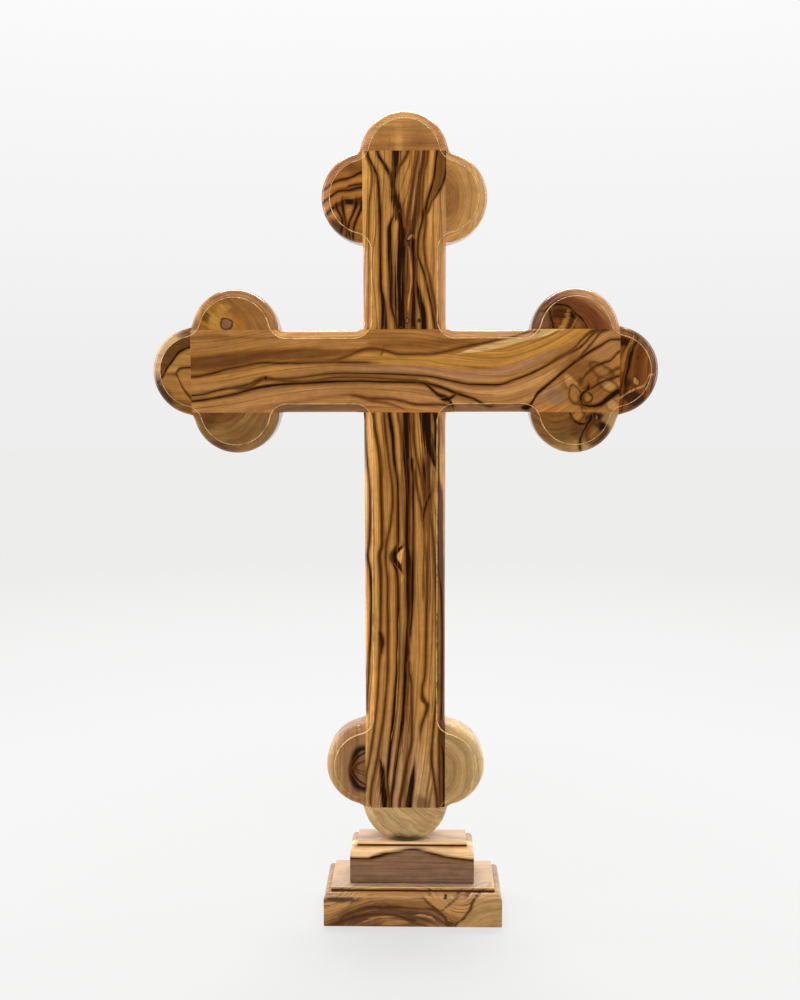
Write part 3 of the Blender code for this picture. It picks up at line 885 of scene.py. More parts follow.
# %% [markdown]
# ## The crossbeam
#
# The crossbeam is calmer and shows broad bands: brown above, tan and pinkish below, with two black
# lines that rise from the left. Right of the middle a pale sapwood band, a gold one and a mauve one
# sweep up together, as the grain does where a branch left the trunk. Its right end is close to a burl.

# %% The crossbeam's bands
wood = start_wood("lacquered_olive_crossbeam", "X", tones=[(-30, "#AE7942"), (-21, "#B37233"),
    (-12, "#AF7947"), (-4, "#AE7942"), (3, "#AE7942"), (12, "#A06B2C"), (21, "#9B652D"), (30, "#AE7942")],
    bend=[(-112, 280), (-92, 282), (-71, 286), (-30, 290), (5, 289), (24, 286), (46, 284), (66, 289),
    (88, 301), (112, 318)], wander=0.6, fray=0.25)
draw_line(wood, TAN, [(-112, 306, 3), (-60, 308, 3), (-30, 305, 2), (-10, 308, 1)], soft=2, fibres=2)
draw_line(wood, "#6E421B", [(-110, 295.8, 3.6), (-91, 297.3, 4), (-71, 300.3, 3), (-53, 300.5, 3),
    (-33, 301.3, 1.8), (-22, 302.5, 0.75), (-12, 303, 0.2), (-2, 301.5, -0.6)], soft=1.2, fibres=2.4)
draw_line(wood, "#875426", [(-18, 306, 0.5), (-2, 305, 2), (13, 305.5, 2), (28, 307.5, 1.4),
    (43, 309.5, 0.8), (50, 311, -0.5)], soft=1.2, fibres=2)
draw_line(wood, "#B98038", [(-45, 298, -1), (-30, 298, 0.8), (-20, 299, 1.8), (0, 298, 2.4),
    (20, 297.5, 3.2), (45, 297.8, 4), (60, 301, 4.3), (75, 306, 4), (92, 311.5, 3)], soft=0.7, fibres=0.6)
draw_line(wood, "#D6AC6C", [(24, 300.3, -0.4), (34, 302.3, 1.1), (46, 304.8, 1.9), (58, 308.3, 2.2),
    (71, 312.3, 2.6), (80, 315, 2.5)], soft=0.5, fibres=0.3)
draw_line(wood, MAUVE, [(-30, 294.5, 0.8), (-21, 294, 1.8), (-2, 293, 2.4), (10, 292, 2.7),
    (29, 289.7, 2.5), (43, 290.5, 2.4), (56, 293.7, 2.2), (69, 298.7, 1.8), (78, 302, 0.5)], soft=0.7,
    fibres=1.4)
draw_line(wood, BROWN, [(-112, 309, 0.4), (-96, 310, 1.4), (-86, 309.5, 0.4), (-60, 309, 0.2)], soft=1,
    fibres=1.6, strength=0.7)
draw_line(wood, BROWN, [(-60, 276, -1), (-48, 278, 0.6), (-33, 280, 1.2), (-20, 281, 0.6),
    (-8, 281, -0.5)], soft=1.4, fibres=1.5, strength=0.45)
draw_line(wood, BROWN, [(-80, 271, 0.6), (-64, 275, 1), (-48, 276, -0.4)], soft=1.4, fibres=1.5,
    strength=0.4)
draw_growth(wood, BROWN, spacing=2.1, half=0.16, strength=0.7)
# Painted shade on the round under the crossbeam, over a dark streak of the wood, then painted light on
# the round above it.
draw_line(wood, "#6A4B34", [(-90, 271, 8), (90, 271, 8)], strength=0.8, rim_only=True)
draw_line(wood, "#C08A50", [(-90, 313, 8), (90, 313, 8)], strength=0.8, rim_only=True)

# %% The crossbeam's black lines
draw_line(wood, BLACK, [(-111, 289.5, 0.35), (-86, 294, 0.3), (-71, 296.5, 0.3), (-61, 296, 0.3),
    (-38, 296.5, 0.2), (-20, 296.5, 0.15), (-15, 296.5, -0.4)])
draw_line(wood, UMBER, [(-38, 297.5, -0.4), (-31, 299, 0.2), (-17, 303.5, 0.25), (-10, 302.5, 0.3),
    (-2, 300.5, 0.25), (9, 300.5, 0.2), (34, 305, 0.25), (54, 309, 0.2), (66, 312, 0.2)])
draw_line(wood, BLACK, [(-111, 280, 0.35), (-90, 283.5, 0.25), (-80, 285.5, 0.25), (-71, 288.6, 0.5),
    (-66, 288, 0.25), (-31, 291, 0.2), (3, 290, 0.3), (14, 289, 0.35), (24, 287, 0.35), (34, 285.2, 0.4),
    (46, 285, 0.4), (57, 288, 0.35), (66, 291.5, 0.35), (80, 299, 0.35), (88, 303, 0.45),
    (100, 312.5, 0.35)])
draw_lines(wood, UMBER,
    [(-90, 283.5, -0.4), (-84, 283.3, 0.25), (-79, 284.3, 0.3), (-71.5, 288, 0.4)],
    [(-70, 288, 0.2), (-53, 286.7, 0.2), (-31, 289, 0.2), (-15, 288.5, 0.25), (10, 287, 0.3)])
draw_line(wood, BLACK, [(-111, 277, 0.45), (-92, 279.5, 0.45), (-71, 284.5, 0.55), (-50, 286, 0.45),
    (-24, 287, 0.45), (-14, 286.5, 0.45), (9, 286, 0.5), (21, 283, 0.6), (26, 281, 0.6), (35, 278, 0.4),
    (44, 274, 0.3)])
draw_line(wood, UMBER, [(73, 296, -0.4), (77, 298, 0.3), (84, 302, 0.35), (98, 312.5, 0.3)])
draw_line(wood, "#C79257", [(8, 287.6, 0.4), (23, 284.7, 0.5), (38, 281.5, 0.8), (50, 281.5, 1.6),
    (62, 284.5, 1.6), (74, 291, 0.8), (84, 297.5, 0.2)], soft=0.6, strength=0.6)
draw_line(wood, UMBER, [(-29, 280, -0.4), (-25, 279.5, 0.25), (-17, 278, 0.4), (-9, 278, 0.35),
    (-2, 277, 0.3), (8, 275, 0.35), (18, 275, 0.35), (24, 274, 0.5)])
draw_line(wood, BROWN, [(-26, 279, -0.4), (-17, 276.8, 0.8), (-9, 275.7, 0.8), (-2, 273.5, 0.5),
    (4, 271, -0.4)], soft=0.8)
draw_line(wood, BLACK, [(8, 286, 0.3), (17, 280.3, 0.8), (22.5, 277.5, 1.3), (24.5, 274.5, 0.8),
    (26, 271, -0.4)], fibres=0.9)
draw_line(wood, BLACK, [(21, 277.6, 0.9), (26, 280, 0.3), (28, 281, -0.4)])
draw_stain(wood, BLACK, (-71, 288.7), (0.9, 1.1), strength=0.9)
draw_line(wood, BLACK, [(-12, 300.5, -0.3), (-11, 302, 0.3), (-10, 305, -0.3)])

# %% The burl at its right end
draw_stain(wood, "#86521F", (92, 287), (21, 16), tilt=-35, edge=0.6, strength=0.85)
draw_stain(wood, "#A8733C", (97, 302), (9, 3.5), tilt=-30, edge=0.7, strength=0.6)
draw_stain(wood, "#8F6A4C", (77, 279), (7, 5), tilt=-20, edge=0.6, strength=0.85)
draw_stain(wood, "#C18A4C", (84.5, 286), (2.9, 6.5), tilt=40, edge=0.5, strength=0.9)
draw_knot(wood, "#A56E33", UMBER, (86.5, 280.3), (3.6, 5.9), tilt=12, rim_share=0.08, core_edge=0.6)
draw_stain(wood, "#54300F", (89.5, 286.5), (2, 3.2), tilt=10, edge=0.8, strength=0.8)
draw_knot(wood, "#A46C34", "#5A3414", (100, 291.8), (9, 3.9), tilt=-30, rim_share=0.05, core_edge=0.8)
draw_knot(wood, "#B98348", "#4A2A10", (103.5, 284.6), (7.6, 3.3), tilt=-28, rim_share=0.05, core_edge=0.7)
draw_knot(wood, "#B0772F", "#3A1D0A", (93.2, 278.4), (3, 3.6), tilt=10, rim_share=0.1, core_edge=0.9)
draw_knot(wood, "#C28C52", "#7C4A1F", (105.8, 274.6), (4.4, 3.6), tilt=-30, rim_share=0.05, core_edge=0.6)
draw_line(wood, BLACK, [(62, 273.5, 1.2), (68, 280.7, 0.8), (77, 288.5, 0.6), (91, 299.5, 0.6),
    (99, 304.4, 0.45), (106, 307.7, 0.3), (110, 307.7, 0.25)])
draw_line(wood, UMBER, [(86, 297, -0.4), (91, 301.5, 0.35), (95, 306, 0.35), (102, 312.5, 0.25)])
draw_lines(wood, BLACK,
    [(89.5, 287, -0.4), (92, 290, 0.3), (96, 293.6, 0.3), (101, 296, 0.35), (104, 297, 0.3),
     (110, 301.5, 0.25)],
    [(93.5, 283.2, 0.35), (99.2, 285.8, 0.35), (104, 287.6, 0.3), (110, 289.2, 0.25)])
draw_line(wood, UMBER, [(102, 289.5, -0.4), (105.5, 291.5, 0.3), (110, 293.5, 0.25)])
draw_line(wood, BLACK, [(274.4, 90.5, 0.4), (277.4, 89.7, 0.5), (280.7, 90.6, 0.7), (283, 93.4, 0.8)],
    over="z")
draw_line(wood, BLACK, [(90, 274.8, 0.3), (94.8, 274, 0.5), (99.2, 274.8, 0.9), (103.6, 278, 1.5),
    (110, 281.6, 1.3)])
draw_line(wood, BROWN, [(84, 293, -0.4), (86.5, 288, 0.3), (87, 282, 0.3), (89, 277, 0.3),
    (92, 273, 0.4)])
clothe("crossbeam", wood)

# %% [markdown]
# ## The buds
#
# The twelve buds come from offcuts, and no two match. Some show their end grain, so rings run round a
# centre near the seam. Some are flat sawn and carry bold bands, and three were cut next to a knot. The
# sapwood ones are the palest wood on the whole cross.

# %% Head of the post
wood = start_wood("lacquered_olive_top_end", "X", wander=0.8, fray=0.3, tones=[(395, "#AD7842"),
    (402, "#986433"), (406, "#AB753E"), (412, "#AD7842"), (418, "#BC8542"), (424, "#C59859")])
draw_stain(wood, "#885628", (7, 406), (9, 8), edge=0.8, strength=0.55)
draw_stain(wood, "#946130", (-11, 405), (7, 8), edge=0.8, strength=0.45)
draw_line(wood, "#C28B4B", [(398, -2.6, 1.7), (408, -2.6, 1.8), (416, -3.5, 2.2), (424, -4, 3)], soft=1.1,
    fibres=0.6, strength=0.75, over="z")
draw_line(wood, BROWN, [(399, -7.8, 0.12), (405, -7.3, 0.14), (410, -7.6, 0.14), (414, -8.4, -0.3)],
    strength=0.7, over="z")
clothe("top_lobe_end", wood)

wood = start_wood("lacquered_olive_top_left", "X", wander=0.6, fray=0.3, tones=[(355, BROWN),
    (364, "#AA6C30"), (372, "#B07234"), (380, "#AA6C30"), (388, "#A6682A"), (394, "#814F21"),
    (400, "#A5723F")], bend=[(-46, -6), (-36, -1), (-28, 1), (-20, 2)])
draw_growth(wood, BROWN, spacing=2.6, half=0.1, strength=0.5)
draw_stain(wood, BROWN, (-25, 392.5), (7, 3.5), tilt=-15, edge=0.8, strength=0.7)
draw_stain(wood, SMOKE, (-36, 363), (9, 6), tilt=40, edge=0.6, strength=0.85)
draw_lines(wood, BLACK,
    [(-45, 381, 0.3), (-39, 383.7, 0.4), (-33, 387, 0.4), (-28, 388, 0.45), (-20, 391, 0.6)],
    [(-46, 373, 1), (-42, 376, 0.8), (-37, 379, 0.4), (-33, 381.5, 0.45), (-28, 382, 0.5),
     (-20, 383.5, 0.7)],
    [(-30, 383, -0.4), (-27, 384.2, 0.35), (-20, 385.2, 0.3)])
draw_line(wood, BLACK, [(-46, 366, 0.9), (-38, 372, 0.8), (-33, 375, 0.8), (-29, 376.6, 1.3),
    (-25, 376.3, 1.3), (-20, 377, 1.7)], fibres=0.8)
draw_lines(wood, BLACK,
    [(355, -30, 0.6), (363, -29, 0.5), (369, -30, 0.5), (376, -31, 0.7)],
    [(355, -27, 0.5), (364, -28, 0.4), (370, -26, 0.5), (376, -24, 0.8)],
    [(355, -26, 0.4), (363, -25.5, 0.45), (369, -23.5, 0.6), (376, -21, 0.8)],
    [(357, -34, 1), (363, -31.8, 0.8), (367, -31, 0.5), (371, -32.5, 0.5), (374, -34, 0.6)], over="z")
# Painted shade on the lower left of the bud's round.
draw_stain(wood, "#4A2E1C", (-40, 362), (12, 12), edge=0.7, strength=0.7, rim_only=True)
clothe("top_lobe_left", wood)

wood = start_wood("lacquered_olive_top_right", "Y", pith=(20, 378, 0.62), wander=1.0, fray=0.2,
    tones=[(0, "#9F6E38"), (3, "#9C6734"), (5, "#88572B"), (7, "#A4703A"), (11, "#B48148"),
    (16, "#B7864C"), (22, "#BD9157"), (28, "#B4844E")])
clothe("top_lobe_right", wood)

# %% Left end of the crossbeam
wood = start_wood("lacquered_olive_left_end", "X", wander=0.8, fray=0.25, tones=[(270, BROWN),
    (277, "#936328"), (285, "#A26F34"), (295, "#AE7B3D"), (305, "#A37137"), (315, "#A06F3D")])
draw_line(wood, "#623C18", [(-131, 291, 9), (-127, 296, 9), (-122, 303, 9.5), (-118, 308, 10),
    (-112, 313.5, 10), (-106, 315, 10)], soft=0.5, fibres=1)
draw_line(wood, BLACK, [(-131, 282, 0.9), (-127, 286.4, 0.9), (-124.5, 288.8, 0.7), (-122, 293, 0.7),
    (-118.5, 297.7, 0.75), (-115.5, 301.5, 0.7), (-112.5, 303.2, 0.6), (-106, 304.8, 0.5)])
draw_lines(wood, BLACK,
    [(-117.4, 290.6, -0.3), (-116.6, 291.6, 0.35), (-116, 292.5, 0.3), (-114, 293.6, 0.35),
     (-106, 294, 0.35)],
    [(-117.4, 291, -0.3), (-116.6, 290.4, 0.35), (-115.5, 288, 0.35), (-114, 284.5, 0.35),
     (-112, 281.5, 0.4), (-106, 277, 0.45)], fibres=0.2)
draw_stain(wood, "#6C4117", (-114, 275), (8, 4), tilt=-20, edge=0.8, strength=0.6)
draw_stain(wood, SMOKE, (-129, 275), (9, 14), tilt=-40, edge=0.35, strength=0.85)
# Painted light on the upper part of the bud's round, and painted shade on its lower left.
draw_stain(wood, "#C79A68", (-126, 305), (15, 19), tilt=20, edge=0.5, strength=0.85, rim_only=True)
draw_stain(wood, "#3E2616", (-127, 277), (12, 17), tilt=-35, edge=0.6, strength=0.8, rim_only=True)
clothe("left_lobe_end", wood)

wood = start_wood("lacquered_olive_left_upper", "Y", pith=(-118, 290, 1), wander=1.6, fray=0.4,
    tones=[(24, BROWN), (31, "#A0651E"), (34, "#BE883D"), (37, "#976123"), (41, "#B07830"),
    (44, "#8E5C2C"), (52, "#8E5E2D"), (62, "#A16F3D")])
draw_stain(wood, "#BD8B3F", (-96, 318.5), (5, 4.5), edge=0.5, strength=0.7)
draw_stain(wood, UMBER, (-101.5, 320), (3, 5), tilt=25, edge=0.7, strength=0.75)
draw_stain(wood, "#BA8538", (-92, 323.5), (5, 2.6), tilt=20, edge=0.5, strength=0.8)
draw_stain(wood, "#9D5D1B", (-84.5, 317), (3, 5), tilt=20, edge=0.7, strength=0.7)
draw_stain(wood, "#8F5E2D", (-76, 320), (8, 10), edge=0.6, strength=0.7)
draw_knot(wood, "#865F40", UMBER, (-90.5, 316), (3.9, 3.3), tilt=15, rim_share=0.28)
clothe("left_lobe_upper", wood)

wood = start_wood("lacquered_olive_left_lower", "Y", pith=(-96, 280, 1), wander=1.2, fray=0.2,
    tones=[(0, "#5A3819"), (8, "#64401B"), (13, "#744B24"), (17, "#795328"), (19, "#92703C"),
    (20.5, "#795228"), (23, "#896335"), (24.5, "#775028"), (32, "#896438")])
draw_stain(wood, UMBER, (-101, 267), (6, 8), tilt=-30, edge=0.9, strength=0.6)
# Painted shade on the lower rim of the bud's round.
draw_stain(wood, "#4A3020", (-99, 252), (17, 12), tilt=-20, edge=0.8, strength=0.7, rim_only=True)
clothe("left_lobe_lower", wood)

# %% Right end of the crossbeam
wood = start_wood("lacquered_olive_right_upper", "Y", pith=(78, 303, 1), wander=1.2, fray=0.3,
    tones=[(5, UMBER), (12, "#6E3D1A"), (17, "#64361A"), (21, "#704022"), (25, "#653416"),
    (27, "#7A4522"), (30, "#A97547"), (36, "#C79263")])
draw_growth(wood, UMBER, spacing=2.4, half=0.1, strength=0.4)
draw_stain(wood, "#7A5434", (71, 318), (3.5, 7), edge=0.5, strength=0.6)
draw_stain(wood, "#4A260E", (80, 317), (8, 7.8), edge=0.3, strength=0.9)
draw_stain(wood, "#7C4418", (77.5, 316.5), (2.4, 3.4), tilt=20, edge=0.9, strength=0.8)
draw_stain(wood, "#83501F", (88.3, 315.6), (4, 3), tilt=20, edge=0.8, strength=0.85)
draw_line(wood, "#AD7535", [(311, 79, 2.4), (316, 81, 1.5), (319, 82, 1), (322, 82.5, 0.6),
    (324, 83, -0.4)], soft=1.0, fibres=1.5, strength=0.85)
draw_line(wood, "#96622C", [(312, 84.5, 0.6), (316, 86, 0.5), (319, 87.5, 0.3), (321, 88, -0.4)],
    soft=0.4, fibres=0.6)
draw_stain(wood, BLACK, (85, 320.3), (1.7, 2.2), edge=0.5, strength=0.9)
draw_line(wood, BLACK, [(312, 75.5, 0.4), (318.5, 74.4, 0.5), (325, 73, 0.4)])
draw_line(wood, BLACK, [(70, 322, 0.4), (73, 323.7, 0.4), (78.5, 324.8, 0.5), (83, 324.2, 0.5),
    (86, 321, 0.5), (90.5, 317, 0.4), (95, 312, 0.3)], over="x")
clothe("right_lobe_upper", wood)

wood = start_wood("lacquered_olive_right_end", "Z", wander=2.2, fray=0.6, tones=[(108, "#804A17"),
    (111, "#532808"), (113.5, "#8B541F"), (116, "#482106"), (119, "#754116"), (122, "#855024"),
    (125, "#663616"), (127.5, "#805332"), (131, "#8B5A3A")], bend=[(270, -1), (280, 0), (290, 1),
    (300, 2), (308, 5)])
draw_growth(wood, BLACK, spacing=1.5, half=0.3, strength=0.9, waver=5)
draw_stain(wood, BLACK, (111.5, 306.5), (4, 3), tilt=-30, edge=0.7, strength=0.9)
draw_line(wood, "#9C682B", [(292, 110, 0.8), (297, 110.4, 1.2), (304, 113.4, 1), (309, 116, 0.4)],
    soft=0.7, fibres=2.5, strength=0.8)
draw_line(wood, BLACK, [(286, 112, 0.5), (293, 113.6, 0.7), (303, 115.6, 0.6), (308, 118, 0.4)], fibres=1)
draw_stain(wood, "#531903", (118.2, 298.5), (1.1, 1.9), edge=0.8, strength=0.9)
draw_stain(wood, BLACK, (113.5, 285.5), (3, 4.5), tilt=-15, edge=0.8, strength=0.75)
draw_knot(wood, "#AB7737", UMBER, (117.4, 286.6), (1.7, 3.1), tilt=35, rim_share=0.15, core_edge=0.5)
draw_stain(wood, "#351A0A", (117, 278), (8.5, 4), tilt=-25, edge=0.4, strength=0.9)
draw_line(wood, "#AC7842", [(108, 278, 0.6), (112, 279.6, 0.5), (115.6, 282, 0.5), (121, 284.4, 0.7),
    (125, 290, 0.6)], over="x", fibres=0.5)
clothe("right_lobe_end", wood)

wood = start_wood("lacquered_olive_right_lower", "Y", pith=(77, 279, 1), wander=1.0, fray=0.3,
    tones=[(4, "#69401A"), (9, "#744A20"), (12, "#825626"), (14.5, "#69411A"), (18, "#835A2D"),
    (21, "#6E451D"), (24, "#856033"), (28, "#9B7444"), (32, "#AA8354")])
draw_growth(wood, UMBER, spacing=2.0, half=0.12, strength=0.55)
draw_stain(wood, UMBER, (88, 262), (5, 7), edge=0.9, strength=0.7)
draw_stain(wood, "#3C1E08", (98, 261), (8, 9), tilt=20, edge=0.4, strength=0.9)
draw_stain(wood, "#875620", (96.5, 260), (4.2, 5.2), edge=0.8, strength=0.95)
draw_stain(wood, BLACK, (97, 268.6), (7, 3), tilt=8, edge=0.6, strength=0.95)
draw_stain(wood, "#835630", (98, 268.5), (1, 1.6), edge=0.6, strength=0.8)
draw_knot(wood, "#AD7432", UMBER, (88, 269), (4.6, 3.4), tilt=22, rim_share=0.08, core_edge=0.6)
draw_line(wood, BLACK, [(82, 273, 0.6), (84.5, 269.7, 0.6), (86.6, 266.6, 0.6), (91.5, 265, 0.6),
    (96, 266.5, 0.5)], over="x")
draw_line(wood, BLACK, [(248, 91, 0.5), (252.7, 90, 0.35), (259.8, 90.6, 0.4), (264, 92.6, 0.6),
    (268, 95, 0.9)])
draw_stain(wood, BLACK, (101, 263.5), (3.5, 3), tilt=-50, edge=0.7, strength=0.85)
clothe("right_lobe_lower", wood)

# %% Foot of the post
wood = start_wood("lacquered_olive_foot_left", "Z", wander=0.5, fray=0.25, tones=[(-44, "#C8A374"),
    (-38, "#B28656"), (-33, "#9C7048"), (-28, "#8E623C"), (-21, "#9A7046")])
draw_stain(wood, "#734D32", (-21, 83), (10.5, 14), edge=0.15, strength=0.8)
draw_stain(wood, BLACK, (-21, 83), (10, 13.2), edge=0.22, strength=0.95)
draw_stain(wood, "#835C3C", (-20, 83), (7.6, 10.6), edge=0.2, strength=0.9)
draw_line(wood, BLACK, [(70, -18, 0.7), (77, -25.5, 0.55), (83, -28.2, 0.5), (88.5, -25.5, 0.55),
    (95, -18, 0.7)], fibres=0.6)
draw_line(wood, UMBER, [(77, -18, 0.4), (80.5, -25, 0.3), (83, -27.3, 0.3), (85.5, -25, 0.35),
    (90, -18, 0.4)], fibres=0.4)
draw_line(wood, BLACK, [(79, -18, 0.35), (82.4, -26, 0.3), (83.2, -26.6, 0.3), (86.5, -21, 0.35),
    (88, -18, 0.35)], fibres=0.4)
clothe("foot_lobe_left", wood)

wood = start_wood("lacquered_sapwood_foot_right", "Y", pith=(19, 81, 0.72), wander=1.2, fray=0.2,
    tones=[(0, "#A57B4A"), (5, "#AD8453"), (8, "#A27847"), (9.5, "#B28C5A"), (14, "#B4925F"),
    (16, "#A98552"), (18, "#BC9A68"), (24, "#C7A877"), (30, "#BFA070")])
clothe("foot_lobe_right", wood)

wood = start_wood("lacquered_sapwood_foot_end", "Y", pith=(48, 122, 1), wander=1.6, fray=0.25,
    tones=[(55, "#A98054"), (60, "#B08A60"), (63, "#BB9866"), (66, "#C3A06C"), (69, "#A9855C"),
    (72, "#BD9A68"), (75, "#AC865A"), (79, "#BC9864"), (84, "#B59264")])
draw_growth(wood, BROWN, spacing=4.5, half=0.15, strength=0.3)
# Painted shadow where the bud meets the plinth.
draw_stain(wood, "#241205", (0, 41.5), (17, 6.5), edge=0.6, strength=0.9)
clothe("foot_lobe_end", wood)

# %% [markdown]
# ## The plinth's wood
#
# The upper block is a mauve-brown heart board with straight grain and a gold strip along its front top
# edge, painted brighter there as painted light on the round that faces up. The lower one is gold, and
# dark smoky figure runs across two thirds of its front up to a plain pale corner. Under each step a
# dark line is painted shade, and each top carries a painted reflection of the pale room.

# %% Two blocks
upper_face, lower_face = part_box("plinth_upper")[0].y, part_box("plinth_lower")[0].y
wood = start_wood("lacquered_olive_plinth_upper", "X", face=upper_face, wander=1.0, fray=0.35,
    tones=[(18, "#66483A"), (23, "#86634B"), (28, "#8A664C"), (33, "#825E46"), (38, "#966E4C"),
    (44, "#B08A62")])
draw_growth(wood, SMOKE, spacing=2.2, half=0.1, strength=0.5)
# The gold strip is the wood's own, painted brighter as painted light on the round under the step, which
# faces up.
draw_line(wood, "#FFCE94", [(-36, 39.2, 4.6), (-20, 39, 4.6), (-7, 41.5, 4.6), (4, 42.9, 4.5),
    (12, 42, 4.6), (23, 39.7, 4.7), (40, 38.3, 4.7)], soft=0.3, fibres=0.4)
draw_line(wood, "#C18C54", [(-36, 39.7, 0.5), (0, 40.2, 0.6), (40, 39.5, 0.4)], soft=0.6, fibres=1.2)
draw_line(wood, BLACK, [(-36, 34.4, 0.35), (-20.5, 34, 0.3), (-16.5, 35, 0.7), (-12.5, 36, 0.65),
    (-7, 37, 0.25), (3.5, 38.4, 0.2), (11.5, 37.4, 0.25), (23.5, 35, 0.35), (40, 33.4, 0.3)])
clothe("plinth_upper", wood, top=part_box("plinth_upper")[1].z)

wood = start_wood("lacquered_olive_plinth_lower", "X", face=lower_face, wander=2.2, fray=1.0,
    tones=[(-8, "#7A5434"), (-3, "#B07C48"), (1, "#93673C"), (4, "#AF7A44"), (8, "#8A5E3A"),
    (11, "#B98349"), (16, "#CF9A5A"), (20, "#B98A5A"), (26, "#A57C54")], bend=[(-46, -6), (-38, -4),
    (-30, 1), (-20, 5), (-8, 6), (5, 5.5), (14, 3), (22, -3), (30, -6), (40, 0), (52, 2)])
draw_stain(wood, "#684430", (-24, 3), (19, 8), tilt=-14, edge=0.7, strength=0.75)
draw_stain(wood, "#6E4A32", (6, 4), (19, 8), tilt=12, edge=0.7, strength=0.75)
draw_growth(wood, SMOKE, spacing=1.2, half=0.3, strength=0.85, waver=6)
draw_stain(wood, "#BC8A52", (23, 15), (12, 7), edge=0.5, strength=0.85)
draw_line(wood, "#55392A", [(-44, -1, 0.5), (-37, 1, 1.6), (-30, 4, 2), (-21, 7.5, 2.4), (-11, 8.5, 2.4),
    (0, 8, 1.8), (10, 7, 1.6), (17, 4, 1.6), (22, 1, 1.5), (26, -1, 0.5)], soft=1, fibres=6, strength=0.9)
draw_line(wood, "#936238", [(-14, 12.5, -0.4), (-8, 13.3, 0.8), (-1.6, 13.8, 1.2), (6, 13, 1),
    (11, 12, -0.4)], soft=0.8, fibres=2, strength=0.8)
draw_lines(wood, SMOKE,
    [(-38, 1, 0.2), (-30.6, 6.7, 0.4), (-21, 10.9, 0.6), (-11, 11.7, 0.6), (3, 11, 0.3), (9, 10.5, 0.2),
     (15.4, 9.8, 0.3), (20.7, 4.4, 0.3), (24, 0.9, 0.3)],
    [(-41, -1, 0.2), (-34, 2, 0.4), (-26, 5, 0.5), (-16, 7, 0.4), (-6, 6.5, 0.3),
     (4, 3, 0.3)], fibres=1.5)
draw_line(wood, "#B8834A", [(-24, 2, -0.4), (-15, 4.8, 0.8), (-10, 5.2, 0.6), (-5, 5, -0.4)], soft=0.5,
    fibres=1.5)
draw_line(wood, "#B07A44", [(-15, 0.5, -0.4), (-8, 2, 0.8), (-2, 2.6, 0.7), (3, 2, -0.4)], soft=0.5,
    fibres=1.5)
draw_line(wood, "#B8834A", [(5, 6.5, -0.4), (9, 6, 0.9), (13, 5, 1), (17, 3, -0.4)], soft=0.5, fibres=1.5)
draw_line(wood, SMOKE, [(9, 16.5, -0.4), (11.5, 14.6, 0.25), (15, 11.5, 0.3), (18, 8.5, 0.3),
    (21, 5, 0.4), (24, 2, 0.4)])
draw_line(wood, "#5E3F2A", [(17, 8, -0.4), (22, 11.9, 0.8), (26, 15.5, 1), (29, 18.2, 0.7),
    (31, 20, -0.4)], soft=0.8, fibres=2.5, strength=0.85)
draw_line(wood, "#55392A", [(-42, 14.5, 0.3), (-39.7, 14.9, 0.9), (-32.5, 14.9, 1), (-25.3, 15, 0.5),
    (-22, 15.5, -0.4)], soft=0.6, fibres=1.8)
draw_line(wood, "#B58B57", [(-2, 45.5, 20), (1, 46.6, 20), (5.8, 51.8, 20), (10.7, 54.7, 20),
    (14.8, 55.7, 20), (18.6, 60.3, 20), (22, 65, 20)], soft=0.5, over="z")
draw_line(wood, SMOKE, [(-2, 25.5, 0.25), (1, 26.6, 0.25), (5.8, 31.8, 0.25), (10.7, 34.7, 0.3),
    (14.8, 35.7, 0.3), (18.6, 40.3, 0.25), (22, 45, 0.2)], over="z")
draw_knot(wood, BLACK, UMBER, (21.3, 16.7), (1.0, 0.8))
clothe("plinth_lower", wood, top=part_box("plinth_lower")[1].z)

# %% [markdown]
# ## Studio
#
# The photo is high key: a white table that fades into a pale grey wall, broad soft boxes on both
# sides, in front and above, and two narrow ones just behind the cross that light its rims. The room
# behind the photographer is dark, and a dark card hides the table from the lacquer, so that the black
# lines stay black. The lamps only light and aren't seen.

# %% White table
TABLE_SIZE = 8.0                # metres, so that its far edge lies in the haze
HAZE_START, HAZE_END = 0.16, 0.4
bpy.ops.object.select_all(action="DESELECT")
bpy.ops.mesh.primitive_plane_add(size=TABLE_SIZE, location=(0, 0, 0))
table = bpy.context.object
table.name = "white_table"
table_material = bpy.data.materials.new("white_acrylic_table")
table_material.use_nodes = True
tree = table_material.node_tree
table_shader = tree.nodes["Principled BSDF"]
table_shader.inputs["Base Color"].default_value = linear("#ACACAB")
table_shader.inputs["Roughness"].default_value = 0.22
table_shader.inputs["Specular IOR Level"].default_value = 0.2
far = length(tree, add(tree, "TexCoord").outputs["Object"])
share = remap(tree, far, HAZE_START, HAZE_END, start=0.66, smooth=True)
pale = add(tree, "ValToRGB", {0: remap(tree, far, 0.2, 1.2)})
pale.color_ramp.elements[0].color = linear("#F9F9F9")
pale.color_ramp.elements[1].color = linear("#EDEDEC")
haze = add(tree, "Emission", {"Color": pale.outputs[0], "Strength": 1.0})
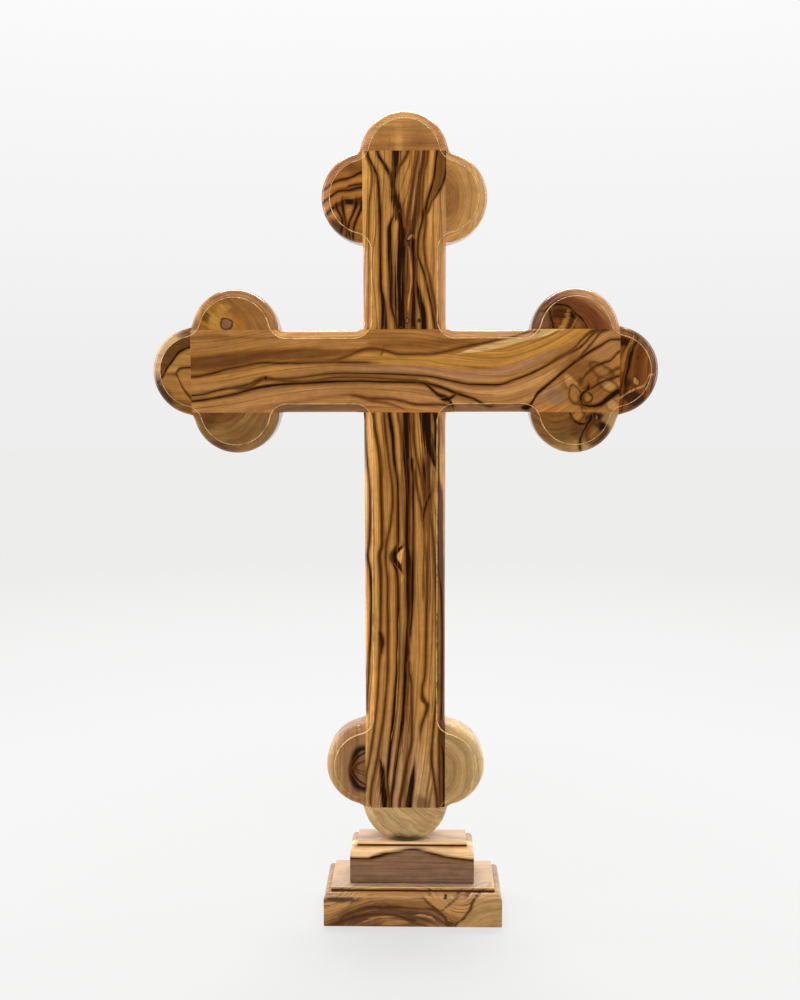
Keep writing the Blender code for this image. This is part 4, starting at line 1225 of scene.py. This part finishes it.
mix = add(tree, "MixShader", {0: share, 1: table_shader.outputs[0], 2: haze.outputs[0]})
tree.links.new(mix.outputs[0], tree.nodes["Material Output"].inputs["Surface"])
table.data.materials.append(table_material)
table.visible_glossy = False     # as if a dark card kept the white table out of the lacquer

# %% Room and lamps
scene = bpy.context.scene
scene.view_settings.view_transform = "Standard"
world = scene.world or bpy.data.worlds.new("studio")
scene.world = world
world.use_nodes = True
tree = world.node_tree
_, y, z = add(tree, "SeparateXYZ", {0: add(tree, "TexCoord").outputs["Generated"]}).outputs
room = add(tree, "ValToRGB", {0: remap(tree, y, -0.7, 0.7)})
room.color_ramp.elements[0].position = 0.3
room.color_ramp.elements[0].color = linear("#2A2A2A")
room.color_ramp.elements[1].position = 0.62
room.color_ramp.elements[1].color = linear("#EEEEEE")
wall = scaled(tree, room.outputs[0], remap(tree, z, 0.0, 0.4, 1.0, 1.16))
tree.links.new(wall, tree.nodes["Background"].inputs["Color"])


def soft_box(name, place, aim, size, power):
    lamp_data = bpy.data.lights.new(name, "AREA")
    lamp_data.shape = "RECTANGLE"
    lamp_data.size, lamp_data.size_y = size
    lamp_data.energy = power
    lamp = bpy.data.objects.new(name, lamp_data)
    scene.collection.objects.link(lamp)
    turn = (Vector(aim) - Vector(place)).to_track_quat("-Z", "Y").to_matrix().to_4x4()
    lamp.matrix_world = Matrix.Translation(place) @ turn
    lamp.visible_camera = False


soft_box("left_soft_box", (-1.4, -1.2, 0.8), (0, 0, 0.2), (1.8, 1.8), 19)
soft_box("right_soft_box", (1.4, -1.1, 0.7), (0, 0, 0.2), (1.8, 1.8), 12)
soft_box("front_soft_box", (0, -1.4, 1.5), (0, 0, 0.15), (1.6, 1.0), 15)
soft_box("top_soft_box", (0, 0.6, 1.3), (0, 0, 0.25), (1.2, 0.3), 21)
soft_box("left_rim_box", (-1.2, 0.3, 0.55), (0, 0, 0.25), (0.25, 1.2), 6)
soft_box("right_rim_box", (1.2, 0.3, 0.55), (0, 0, 0.25), (0.25, 1.2), 5)
